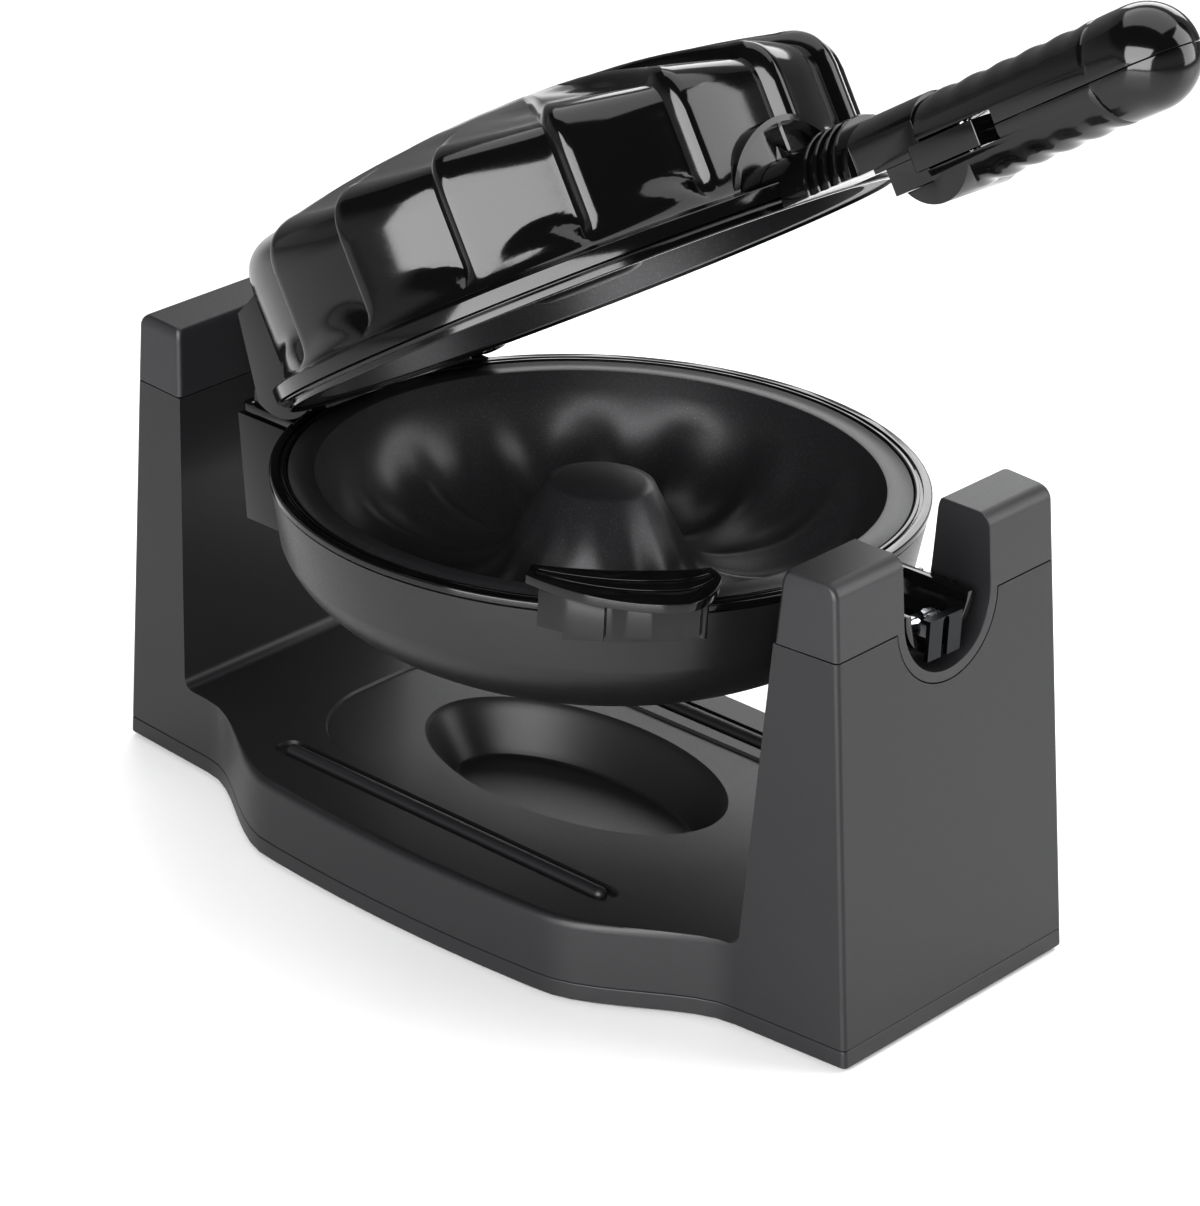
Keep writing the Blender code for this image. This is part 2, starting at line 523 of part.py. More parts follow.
def make_right_cap():
    """Cap with the U-shaped cradle, whose liner reaches down into the tower below the parting."""
    low = AXIS_Z - CRADLE_RADIUS - CRADLE_LINER - OVERRUN
    rings = tower_rings(1, 0, low, STAND_HEIGHT, TOWER_TOP_FILLET, TOWER_TOP_EDGE)
    cap = add_object("right_tower_cap", skin(rings), "stand", CAP_BLACK)
    outer = CRADLE_RADIUS + CRADLE_LINER
    keep = add_object("cradle liner", prism(cradle_outline(outer, STAND_HEIGHT + 2 * OVERRUN), "YZ",
                                            0, STAND_HALF_LENGTH + OVERRUN), "stand")
    below = add_object("below parting", box((BULGE_START - OVERRUN, -STAND_HEIGHT / 2, low - OVERRUN),
                                            (STAND_HALF_LENGTH, STAND_HEIGHT / 2, CAP_PARTING + GAP)), "stand")
    cut(cap, cut(below, keep))
    hollow = skin(tower_rings(1, STAND_WALL, CAP_PARTING - OVERRUN, STAND_HEIGHT - STAND_WALL))
    cut(cap, cut(add_object("right cap hollow", hollow, "stand"), keep))
    notch = prism(cradle_outline(CRADLE_RADIUS, STAND_HEIGHT + OVERRUN), "YZ", 0, STAND_HALF_LENGTH + OVERRUN)
    cut(cap, add_object("cradle notch", notch, "stand"))


def make_bottom_plate():
    plate = add_object("bottom_plate", skin(level_rings([(z, stand_plan(z)) for z in (0, PLATE_PARTING)])),
                       "stand", MATT_BLACK)
    hollow = skin(level_rings([(z, stand_plan(z, STAND_WALL)) for z in (PLATE_FLOOR, PLATE_PARTING + OVERRUN)]))
    hollow = add_object("plate hollow", hollow, "stand")
    for number, (x, y) in enumerate(base_points(), 1):
        boss = disc(BOSS_RADIUS, 0, PLATE_PARTING + 2 * OVERRUN, 8, centre=(x, y, 0))
        cut(hollow, add_object(f"plate boss {number}", boss, "stand"))
    cut(plate, hollow)
    for number, (x, y) in enumerate(base_points(), 1):
        profile = [(0, -OVERRUN), (SCREW_HEAD_RADIUS + GAP, -OVERRUN), (SCREW_HEAD_RADIUS + GAP, SCREW_SINK),
                   (SCREW_RADIUS + GAP, SCREW_SINK), (SCREW_RADIUS + GAP, 2 * PLATE_PARTING),
                   (0, 2 * PLATE_PARTING)]
        seat = turned(profile, 10, centre=(x, y, 0))
        cut(plate, add_object(f"screw seat {number}", seat, "stand"))
    for number, (x, y) in enumerate(foot_points(), 1):
        recess = disc(FOOT_RADIUS + GAP, -OVERRUN, FOOT_SINK, 14, centre=(x, y, 0))
        cut(plate, add_object(f"foot seat {number}", recess, "stand"))


def foot_points():
    for x in (-FOOT_X, FOOT_X):
        for y in (-FOOT_Y, FOOT_Y):
            yield x, y


def corner_name(x, y):
    return f"{'left' if x < 0 else 'right'}_{'front' if y < 0 else 'rear'}"


def make_feet():
    for x, y in foot_points():
        top = FOOT_SINK - GAP
        foot = turned([(0, -FOOT_HEIGHT), (FOOT_RADIUS - FOOT_SINK, -FOOT_HEIGHT), (FOOT_RADIUS, 0),
                       (FOOT_RADIUS, top), (0, top)], 14, centre=(x, y, 0))
        add_object(f"foot_{corner_name(x, y)}", foot, "stand", RUBBER)


def make_screw(name, place, body, along="Z", flip=1, length=SCREW_LENGTH):
    """Pan-head screw with a slot. Its head's top lies at the place, its shank points along the axis."""
    head = SCREW_HEAD_RADIUS
    profile = [(0, 0), (head, 0), (head, SCREW_HEAD), (SCREW_RADIUS, SCREW_HEAD),
               (SCREW_RADIUS, length), (0, length)]
    screw = turned([(r, flip * h) for r, h in profile], 8, along, place)
    screw = add_object(name, screw, body, STEEL)
    size = (SCREW_SLOT / 2, head + OVERRUN, SCREW_SLOT_DEPTH)
    sweep = {"Z": (size[0], size[1], size[2]), "X": (size[2], size[0], size[1])}[along]
    low = [c - s for c, s in zip(place, sweep)]
    high = [c + s for c, s in zip(place, sweep)]
    return cut(screw, add_object(f"{name} slot", box(low, high), body))


def make_base_screws():
    for x, y in base_points():
        make_screw(f"base_screw_{corner_name(x, y)}", (x, y, 2 * GAP), "stand")


def make_axle_parts():
    """Bush clamped between the left tower and its cap, and the ring that keeps the axle in."""
    inner = tower_x(-1, AXIS_Z)[1]
    wall = STAND_WALL
    near, far = inner + GAP, inner - wall - GAP
    near_end, far_end = near + BUSH_FLANGE_THICK, far - BUSH_FLANGE_THICK
    bush = [(AXLE_RADIUS + GAP, near_end), (BUSH_FLANGE, near_end), (BUSH_FLANGE, near), (BUSH_RADIUS, near),
            (BUSH_RADIUS, far), (BUSH_FLANGE, far), (BUSH_FLANGE, far_end), (AXLE_RADIUS + GAP, far_end)]
    add_object("axle_bush", turned(bush, 16, "X", (0, 0, AXIS_Z)), "stand", SATIN_BLACK)
    end = AXLE_INNER - GAP
    axle = [(AXLE_BORE, end), (AXLE_RADIUS, end), (AXLE_RADIUS, AXLE_OUTER), (AXLE_BORE, AXLE_OUTER)]
    add_object("flip_axle", turned(axle, 16, "X"), "lower", STEEL)
    start = inner - wall - BUSH_FLANGE_THICK - 3 * GAP
    ring = [(AXLE_RADIUS + GAP, start), (RING_RADIUS, start), (RING_RADIUS, start - RING_THICK),
            (AXLE_RADIUS + GAP, start - RING_THICK)]
    add_object("axle_ring", turned(ring, 14, "X"), "lower", STEEL)


def make_gland():
    """Bushed inlet for the supply lead in the back of the left tower."""
    face = half_depth(GLAND_X, GLAND_Z)
    clear = TOWER_CORNER / 2
    outside, inside = face + clear, face - STAND_WALL - clear
    nose, tail = outside + GLAND_FLANGE_THICK, inside + clear - 2 * GLAND_FLANGE_THICK
    profile = [(GLAND_BORE, nose), (GLAND_NOSE, nose), (GLAND_FLANGE, outside), (GLAND_SLEEVE, outside),
               (GLAND_SLEEVE, inside), (GLAND_BARB, inside), (GLAND_SLEEVE, tail), (GLAND_BORE, tail)]
    add_object("cord_gland", turned(profile, 14, "Y", (GLAND_X, 0, GLAND_Z)), "stand", RUBBER)


def bowl_profile(grow):
    """Outer line of the bowl from its flat floor to its rim, moved outwards by grow."""
    floor = (BOWL_FLOOR_RADIUS, BOWL_FLOOR - grow)
    swell = (BOWL_SWELL_RADIUS + grow, BOWL_SWELL - grow)
    waist = (BOWL_WAIST_RADIUS + grow, BOWL_WAIST)
    rim = (BOWL_RIM_RADIUS + grow, BOWL_RIM)
    return [floor] + bezier(floor, swell, waist, 5) + [rim]


def make_lower_shell():
    outer = bowl_profile(0)
    inner = bowl_profile(-SHELL_WALL)[::-2]
    profile = [(0, BOWL_FLOOR)] + outer + inner + [(0, BOWL_FLOOR + SHELL_WALL)]
    add_object("lower_shell", turned(profile, 40, centre=(HEAD_X, 0, 0)), "lower", SATIN_BLACK)


def make_lower_bezel():
    """Bright ring round the bowl, with the tab that reaches out under the hinge."""
    low = BOWL_RIM + GAP
    groove = BEZEL_GROOVE / 2
    outer, inner = BEZEL_GROOVE_RADIUS + groove, BEZEL_GROOVE_RADIUS - groove
    profile = [(BEZEL_MOUTH, low), (BEZEL_RADIUS - groove, low), (BEZEL_RADIUS, low + groove),
               (BEZEL_RADIUS, BEZEL_TOP - groove), (BEZEL_RADIUS - groove, BEZEL_TOP), (outer, BEZEL_TOP),
               (outer, BEZEL_TOP - BEZEL_GROOVE), (inner, BEZEL_TOP - BEZEL_GROOVE), (inner, BEZEL_TOP),
               (BEZEL_MOUTH, BEZEL_TOP)]
    bezel = add_object("lower_bezel", turned(profile, 40, centre=(HEAD_X, 0, 0)), "lower", GLOSS_BLACK)
    corner = TAB_THICK
    outline = rounded_box((TAB_LEFT, -TAB_HALF_WIDTH), (TAB_RIGHT, TAB_HALF_WIDTH), corner, 3)
    tab = add_object("bezel tab", prism(outline, "XY", low + GAP, low + GAP + TAB_THICK), "lower")
    mid = (BEZEL_RADIUS + BEZEL_GROOVE_RADIUS + groove) / 2
    inside = disc(mid, -STAND_HEIGHT, STAND_HEIGHT, 40, centre=(HEAD_X, 0, 0))
    cut(tab, add_object("bezel tab inside", inside, "lower"))
    join(bezel, tab)
    for side in (-1, 1):
        slot = ear_slot(side, EAR_FOOT_RIGHT + GAP)
        cut(bezel, add_object(f"tab slot {side}", slot, "lower"))


def ear_slot(side, right):
    low, high = sorted((side * (EAR_INNER - GAP), side * (EAR_OUTER + GAP)))
    return box((EAR_FOOT_LEFT - GAP, low, BOWL_RIM - OVERRUN), (right, high, OVERRUN))


def plate_section():
    """Profile of a baking plate, (radius, depth below the parting) on its cake side."""
    mouth = (PLATE_MOUTH, PLATE_LIP_TOP)
    belly = (PLATE_BELLY_RADIUS, -PLATE_DEPTH)
    foot = (CORE_FOOT_RADIUS, -CORE_FOOT)
    top = (CORE_RADIUS, CORE_TOP)
    side = bezier(mouth, (PLATE_SIDE_RADIUS, -PLATE_SIDE), belly, 3)
    inside = bezier(belly, (CORE_FOOT_SWEEP, -PLATE_DEPTH), foot, 2)
    return [mouth] + side + inside + [top]


def plate_fade(index, count):
    """How deep the flutes are along the section: none at the mouth and on the core."""
    return math.sin(math.pi * min(max((index - 0.5) / (count - 2.5), 0), 1)) ** 0.7


def plate_rings(offset, steps_per_flute=3):
    """Rings of the cake side, moved into the wall by offset."""
    section = plate_section()
    count = len(section)
    rings = []
    for index, (radius, height) in enumerate(section):
        before, after = section[max(index - 1, 0)], section[min(index + 1, count - 1)]
        along = Vector((after[0] - before[0], after[1] - before[1])).normalized()
        out = Vector((-along.y, along.x))
        out = out if index else Vector((1, 0))
        ring = []
        steps = FLUTES * steps_per_flute
        for k in range(steps):
            angle = math.tau * k / steps
            inward = FLUTE_DEPTH * plate_fade(index, count) * abs(math.cos(FLUTES * angle / 2)) ** 3
            grow = offset - inward
            r = radius + grow * out.x if index else radius + offset
            z = height + grow * out.y if index else height
            ring.append((HEAD_X + r * math.cos(angle), r * math.sin(angle), z))
        rings.append(ring)
    return rings


def make_plate(name, body, mirror):
    """Fluted ring-cake plate with a hollow core; mirror 1 is the lower one, -1 the upper one."""
    inside = plate_rings(0)
    outside = plate_rings(PLATE_WALL)
    count = len(inside[0])
    bm = bmesh.new()

    def flat_ring(radius, height):
        ring = []
        for k in range(count):
            angle = math.tau * k / count
            ring.append((HEAD_X + radius * math.cos(angle), radius * math.sin(angle), height))
        return ring

    rim = [flat_ring(PLATE_RIM_RADIUS, PLATE_LIP_TOP), flat_ring(PLATE_RIM_RADIUS, PLATE_LIP_TOP - PLATE_WALL),
           flat_ring(PLATE_MOUTH + PLATE_WALL, PLATE_LIP_TOP - PLATE_WALL)]
    core_in = flat_ring(CORE_MOUTH_RADIUS, CORE_TOP + PLATE_WALL / 2)
    core_out = flat_ring(CORE_MOUTH_RADIUS, CORE_TOP - PLATE_WALL)
    rings = [core_in] + inside[::-1] + rim + outside[1:] + [core_out]
    rows = [[bm.verts.new((x, y, mirror * z)) for x, y, z in ring] for ring in rings]
    for low, high in zip(rows, rows[1:]):
        for i in range(count):
            bm.faces.new((low[i], low[(i + 1) % count], high[(i + 1) % count], high[i]))
    bm.faces.new(rows[0])
    bm.faces.new(rows[-1])
    return add_object(name, bm, body, NONSTICK)


def make_heater(name, body, mirror):
    """C-shaped heating element that lies against the back of a plate."""
    height = -mirror * (PLATE_DEPTH + PLATE_WALL - FLUTE_DEPTH / 8 + HEATER_TUBE + GAP)
    path = []
    for i in range(25):
        angle = HEATER_GAP_ANGLE / 2 + (math.tau - HEATER_GAP_ANGLE) * i / 24
        path.append((HEAD_X + HEATER_RADIUS * math.cos(angle), HEATER_RADIUS * math.sin(angle), height))
    add_object(name, swept(path, HEATER_TUBE, 6), body, ELEMENT)


def make_thermostat(name, body, mirror):
    """Disc thermostat with two blades, held inside the hollow core of a plate."""
    top = CORE_TOP - PLATE_WALL - GAP
    low = top - THERMOSTAT_HEIGHT
    profile = [(0, low - THERMOSTAT_BLADE), (THERMOSTAT_BLADE_RADIUS, low - THERMOSTAT_BLADE),
               (THERMOSTAT_BLADE_RADIUS, low), (THERMOSTAT_RADIUS, low),
               (THERMOSTAT_RADIUS, low + THERMOSTAT_HEIGHT / 2), (THERMOSTAT_TOP_RADIUS, top), (0, top)]
    profile = [(r, mirror * h) for r, h in profile]
    add_object(name, turned(profile, 12, centre=(HEAD_X, 0, 0)), body, PHENOLIC)


def make_lower_hinge_block():
    """Block on the left of the bowl that carries the two hinge ears and the boss of the axle."""
    top = BOWL_RIM
    outline = [(BLOCK_LEFT_LOW, BLOCK_FLOOR), (HEAD_X - BOWL_FLOOR_RADIUS, BLOCK_FLOOR),
               (HEAD_X - BOWL_FLOOR_RADIUS, top), (BLOCK_LEFT, top)]
    block = prism(outline, "XZ", -HINGE_HALF_WIDTH, HINGE_HALF_WIDTH)
    block = add_object("lower_hinge_block", block, "lower", GLOSS_BLACK)
    clear = bowl_profile(GAP)
    profile = [(0, BOWL_FLOOR - GAP)] + clear + [(BOWL_RIM_RADIUS + GAP, OVERRUN), (0, OVERRUN)]
    sunk = BLOCK_LEFT + PIN_RADIUS / 2
    outline = [(UPSTAND_LEFT, UPSTAND_FLOOR), (sunk, UPSTAND_FLOOR), (sunk, top - GAP), (BLOCK_LEFT - GAP, top - GAP),
               (BLOCK_LEFT - GAP, AXLE_BOSS_RADIUS), (UPSTAND_LEFT, AXLE_BOSS_RADIUS)]
    upstand = prism(outline, "XZ", -UPSTAND_HALF_WIDTH, UPSTAND_HALF_WIDTH)
    join(block, add_object("axle upstand", upstand, "lower"))
    boss = disc(AXLE_BOSS_RADIUS, AXLE_BOSS_END, (UPSTAND_LEFT + BLOCK_LEFT) / 2, 20, "X")
    join(block, add_object("axle boss", boss, "lower"))
    for side in (-1, 1):
        low, high = sorted((side * EAR_INNER, side * EAR_OUTER))
        ear = [(EAR_FOOT_LEFT, top - OVERRUN), (EAR_FOOT_RIGHT, top - OVERRUN), (EAR_FOOT_RIGHT, FLANGE_HIGH)]
        ear += arc((HINGE_X, HINGE_Z), EAR_RADIUS, -35, 155, 8)
        ear += [(EAR_FOOT_LEFT, FLANGE_LOW)]
        join(block, add_object(f"hinge ear {side}", prism(ear, "XZ", low, high), "lower"))
    cut(block, add_object("bowl clearance", turned(profile, 40, centre=(HEAD_X, 0, 0)), "lower"))
    seat = disc(AXLE_RADIUS + GAP, AXLE_BOSS_END - OVERRUN, AXLE_INNER, 16, "X")
    cut(block, add_object("axle seat", seat, "lower"))
    hole = disc(PIN_RADIUS + GAP, -HINGE_HALF_WIDTH, HINGE_HALF_WIDTH, 16, "Y", (HINGE_X, 0, HINGE_Z))
    cut(block, add_object("ear bore", hole, "lower"))


def make_hinge_pins():
    for side, name in ((-1, "front"), (1, "rear")):
        low, high = sorted((side * (EAR_INNER - OVERRUN), side * PIN_END))
        pin = disc(PIN_RADIUS, low, high, 14, "Y", (HINGE_X, 0, HINGE_Z))
        add_object(f"hinge_pin_{name}", pin, "lower", STEEL)


def hinge_cover_outline():
    """Side view of the upper hinge block: slanted back, chamfered top, floor rounded about the hinge."""
    floor = arc((HINGE_X, HINGE_Z), BLOCK_SWEEP, 207, 300, 7)
    return floor + [(COVER_RIGHT, COVER_RIGHT_FLOOR), (COVER_RIGHT, COVER_RIGHT_TOP),
                    (COVER_TOP_X, COVER_TOP_Z), (COVER_BACK_X, COVER_BACK_Z)]


def make_upper_hinge_block():
    block = prism(hinge_cover_outline(), "XZ", -HINGE_HALF_WIDTH, HINGE_HALF_WIDTH)
    block = add_object("upper_hinge_block", block, "lid", GLOSS_BLACK)
    dome = [(0, LIP_LOW - OVERRUN), (FLANGE_RADIUS + GAP, LIP_LOW - OVERRUN),
            (FLANGE_RADIUS + GAP, FLANGE_HIGH + GAP)]
    dome += [(radius + GAP, height + GAP) for radius, height in dome_section()[3:]]
    cut(block, add_object("dome clearance", turned(dome, 56, centre=(HEAD_X, 0, 0)), "lid"))
    for side in (-1, 1):
        low, high = sorted((side * (EAR_INNER - GAP), side * (EAR_OUTER + GAP)))
        outer = BLOCK_LEFT - BLOCK_SWEEP
        pocket = [(outer, -OVERRUN), (EAR_POCKET_RIGHT, -OVERRUN), (EAR_POCKET_RIGHT, EAR_POCKET_TOP),
                  (outer, EAR_POCKET_TOP)]
        cut(block, add_object(f"ear pocket {side}", prism(pocket, "XZ", low, high), "lid"))
    reach = PIN_END + GAP
    hole = disc(PIN_RADIUS + GAP, -reach, reach, 14, "Y", (HINGE_X, 0, HINGE_Z))
    cut(block, add_object("cover bore", hole, "lid"))


def dome_section():
    """Half section of the lid's outside, (radius, height), from the flange up to the crown."""
    foot = (DOME_RADIUS, DOME_FOOT)
    wall = (DOME_WALL_RADIUS, DOME_WALL_TOP)
    shoulder = (DOME_SHOULDER_RADIUS, DOME_SHOULDER)
    edge = (DOME_CROWN_EDGE_RADIUS, DOME_CROWN_EDGE)
    crown = (DOME_CROWN_EDGE_RADIUS / 2, DOME_CROWN - (DOME_CROWN - DOME_CROWN_EDGE) / 4)
    flange = [(FLANGE_RADIUS, FLANGE_LOW), (FLANGE_RADIUS, FLANGE_HIGH),
              (FLANGE_RADIUS - FLANGE_CHAMFER, FLANGE_HIGH + FLANGE_BEAD)]
    middle = (DOME_RADIUS, (DOME_FOOT + DOME_WALL_TOP) / 2)
    return flange + [foot, middle, wall] + bezier(wall, shoulder, edge, 4) + [crown, (0, DOME_CROWN)]


def lobe_share(angle):
    """Saw-tooth of the lid's lobes: a quick rise after each crease, then a slow fall."""
    share = ((angle - FIRST_CREASE) / math.tau * LOBES) % 1
    rise = LOBE_SHARES[2]
    if share < rise:
        return math.sin(math.pi / 2 * share / rise)
    return (1 - (share - rise) / (1 - rise)) ** 1.2


def lobe_depth(radius, height):
    """How far the creases are cut in: nothing on the foot band and on the crown."""
    foot = smooth((height - DOME_FOOT) / LOBE_FOOT)
    crown = smooth((radius - LOBE_CROWN_RADIUS) / LOBE_RUN_IN)
    return LOBE_DEPTH * foot * crown


def make_lid_shell():
    """Fluted dome: sixteen saw-tooth lobes over a smooth foot band, hollow, with a pocket for the handle."""
    angles = []
    for lobe in range(LOBES):
        angles += [FIRST_CREASE + math.tau * (lobe + share) / LOBES for share in LOBE_SHARES]
    rings = []
    for radius, height in dome_section()[:-1]:
        ring = []
        for angle in angles:
            r = radius - lobe_depth(radius, height) * (1 - lobe_share(angle))
            ring.append((HEAD_X + r * math.cos(angle), r * math.sin(angle), height))
        rings.append(ring)
    bm = skin(rings)
    caps = sorted((f for f in bm.faces if len(f.verts) > 4), key=lambda f: f.calc_center_median().z)
    bmesh.ops.delete(bm, geom=[caps[-1]], context="FACES_ONLY")
    rim = [v for v in bm.verts if v.co.z > dome_section()[-2][1] - GAP / 30]
    rim.sort(key=lambda v: math.atan2(v.co.y, v.co.x - HEAD_X))
    top = bm.verts.new((HEAD_X, 0, DOME_CROWN))
    for first, second in zip(rim, rim[1:] + rim[:1]):
        bm.faces.new((first, second, top))
    lid = add_object("lid_shell", bm, "lid", GLOSS_BLACK)
    wall = LOBE_DEPTH + SHELL_WALL
    mouth = POCKET_FACE_RADIUS - POCKET_WALL / 2
    inner = [(0, FLANGE_LOW - OVERRUN), (mouth, FLANGE_LOW - OVERRUN), (mouth, DOME_FOOT),
             (DOME_RADIUS - wall, DOME_FOOT + OVERRUN), (DOME_RADIUS - wall, DOME_WALL_TOP)]
    inner += bezier(inner[-1], (DOME_SHOULDER_RADIUS - wall, DOME_SHOULDER - SHELL_WALL),
                    (DOME_CROWN_EDGE_RADIUS - wall, DOME_CROWN_EDGE - SHELL_WALL), 3)
    inner += [(DOME_CROWN_EDGE_RADIUS / 2, DOME_CROWN - SHELL_WALL * 2), (0, DOME_CROWN - SHELL_WALL * 1.5)]
    hollow = add_object("lid hollow", turned(inner, 32, centre=(HEAD_X, 0, 0)), "lid")
    tunnel = POCKET_RADIUS + POCKET_WALL
    keep = add_object("pocket wall", disc(tunnel, HEAD_X, STAND_HALF_LENGTH, 28, "X"), "lid")
    behind = disc(POCKET_FACE_RADIUS - POCKET_WALL, -STAND_HEIGHT, STAND_HEIGHT, 48, centre=(HEAD_X, 0, 0))
    cut(hollow, cut(keep, add_object("behind pocket", behind, "lid")))
    cut(lid, hollow)
    pocket = disc(POCKET_RADIUS, HEAD_X, STAND_HALF_LENGTH, 28, "X")
    pocket = add_object("handle pocket", pocket, "lid")
    below = box((0, -tunnel, -tunnel), (STAND_HALF_LENGTH, tunnel, FLANGE_HIGH))
    cut(pocket, add_object("pocket floor", below, "lid"))
    face = disc(POCKET_FACE_RADIUS, -STAND_HEIGHT, STAND_HEIGHT, 48, centre=(HEAD_X, 0, 0))
    cut(pocket, add_object("pocket face", face, "lid"))
    cut(lid, pocket)


def make_lid_bezel():
    """Ring under the lid's flange, with a lip and a groove that meet the lower ring."""
    top = FLANGE_LOW - GAP
    groove = BEZEL_GROOVE
    profile = [(BEZEL_MOUTH, LIP_LOW), (LIP_RADIUS, LIP_LOW), (LIP_RADIUS, LIP_LOW + groove),
               (LIP_RADIUS - groove, LIP_LOW + groove), (LIP_RADIUS - groove, LIP_LOW + 2 * groove),
               (FLANGE_RADIUS - groove, top - groove), (FLANGE_RADIUS - groove, top), (BEZEL_MOUTH, top)]
    add_object("lid_bezel", turned(profile, 40, centre=(HEAD_X, 0, 0)), "lid", GLOSS_BLACK)


def half_round(radius, low, high, up, floor, steps):
    """Half cylinder along X, above or below a level floor."""
    start = math.degrees(math.asin(floor / radius))
    ends = (180 - start, start) if up > 0 else (start, -180 - start)
    outline = arc((0, 0), radius, *ends, steps)
    return prism(outline, "YZ", low, high)


def make_lower_journal():
    """Half-round arm on the right of the bowl; its fins lie in the cradle."""
    start = HEAD_X + BOWL_WAIST_RADIUS - OVERRUN
    journal = half_round(JOURNAL_RADIUS, start, JOURNAL_END, -1, LOWER_JOURNAL_TOP, 10)
    journal = add_object("lower_journal", journal, "lower", GLOSS_BLACK)
    for index in range(FIN_COUNT):
        x = FIN_X + index * FIN_PITCH
        fin = half_round(FIN_RADIUS, x, x + FIN_THICK, -1, LOWER_JOURNAL_TOP - GAP, 12)
        join(journal, add_object(f"lower fin {index}", fin, "lower"))
    inside = JOURNAL_RADIUS - JOURNAL_WALL
    bore = half_round(inside, start + JOURNAL_RADIUS, JOURNAL_END + OVERRUN, -1, OVERRUN, 12)
    bore = add_object("trough", bore, "lower")
    pad = box((KEEPER_PAD_X, -KEEPER_HALF_WIDTH, -JOURNAL_RADIUS),
              (JOURNAL_END + 2 * OVERRUN, KEEPER_HALF_WIDTH, keeper_seat()))
    cut(bore, add_object("keeper pad", pad, "lower"))
    cut(journal, bore)
    rim = [(BOWL_RIM_RADIUS + GAP, BOWL_RIM + GAP / 2), (BEZEL_RADIUS + GAP, BOWL_RIM),
           (BEZEL_RADIUS + GAP, OVERRUN), (0, OVERRUN)]
    clear = [(0, BOWL_FLOOR - GAP)] + bowl_profile(GAP) + rim
    cut(journal, add_object("journal bowl clearance", turned(clear, 40, centre=(HEAD_X, 0, 0)), "lower"))
    for side in (-1, 1):
        place = (KEEPER_SCREW_X, side * KEEPER_SCREW_Y, 0)
        hole = disc(SCREW_RADIUS + GAP, keeper_seat() - SCREW_LENGTH / 3, OVERRUN, 12, centre=place)
        cut(journal, add_object(f"keeper hole {side}", hole, "lower"))


def keeper_seat():
    return -JOURNAL_RADIUS + JOURNAL_WALL + KEEPER_PAD


def make_rest_bracket():
    """Slotted steel plate at the end of the lower journal, on a leg that lies in its trough."""
    seat = keeper_seat() + GAP
    outer, hook = KEEPER_X + KEEPER_THICK, KEEPER_X - KEEPER_THICK
    under, leg = KEEPER_TOP - KEEPER_THICK, seat + KEEPER_THICK
    outline = [(KEEPER_PAD_X + GAP, seat), (outer, seat), (outer, KEEPER_TOP), (hook, KEEPER_TOP),
               (hook, under), (KEEPER_X, under), (KEEPER_X, leg), (KEEPER_PAD_X + GAP, leg)]
    half = KEEPER_HALF_WIDTH - KEEPER_PLAY
    bracket = add_object("rest_bracket", prism(outline, "XZ", -half, half), "lower", STEEL)
    slot_floor = seat + 2 * KEEPER_THICK
    apron = box((KEEPER_X, -half, KEEPER_FLOOR), (KEEPER_X + KEEPER_THICK, half, seat + KEEPER_THICK))
    join(bracket, add_object("keeper apron", apron, "lower"))
    slot = [(-KEEPER_SLOT / 2, KEEPER_FLOOR - OVERRUN), (KEEPER_SLOT / 2, KEEPER_FLOOR - OVERRUN)]
    slot += arc((0, slot_floor + KEEPER_SLOT_HEIGHT / 3), KEEPER_SLOT / 2, 0, 180, 4)
    slot = prism(slot, "YZ", KEEPER_X - KEEPER_THICK, KEEPER_X + OVERRUN)
    cut(bracket, add_object("keeper slot", slot, "lower"))
    for side in (-1, 1):
        place = (KEEPER_SCREW_X, side * KEEPER_SCREW_Y, 0)
        hole = disc(SCREW_RADIUS + GAP, seat - OVERRUN, seat + OVERRUN, 12, centre=place)
        cut(bracket, add_object(f"bracket hole {side}", hole, "lower"))
        top = seat + KEEPER_THICK + GAP + SCREW_HEAD
        make_screw(f"bracket_screw_{'front' if side < 0 else 'rear'}", (place[0], place[1], top), "lower",
                   flip=-1, length=SCREW_HEAD + KEEPER_THICK + SCREW_LENGTH / 3)


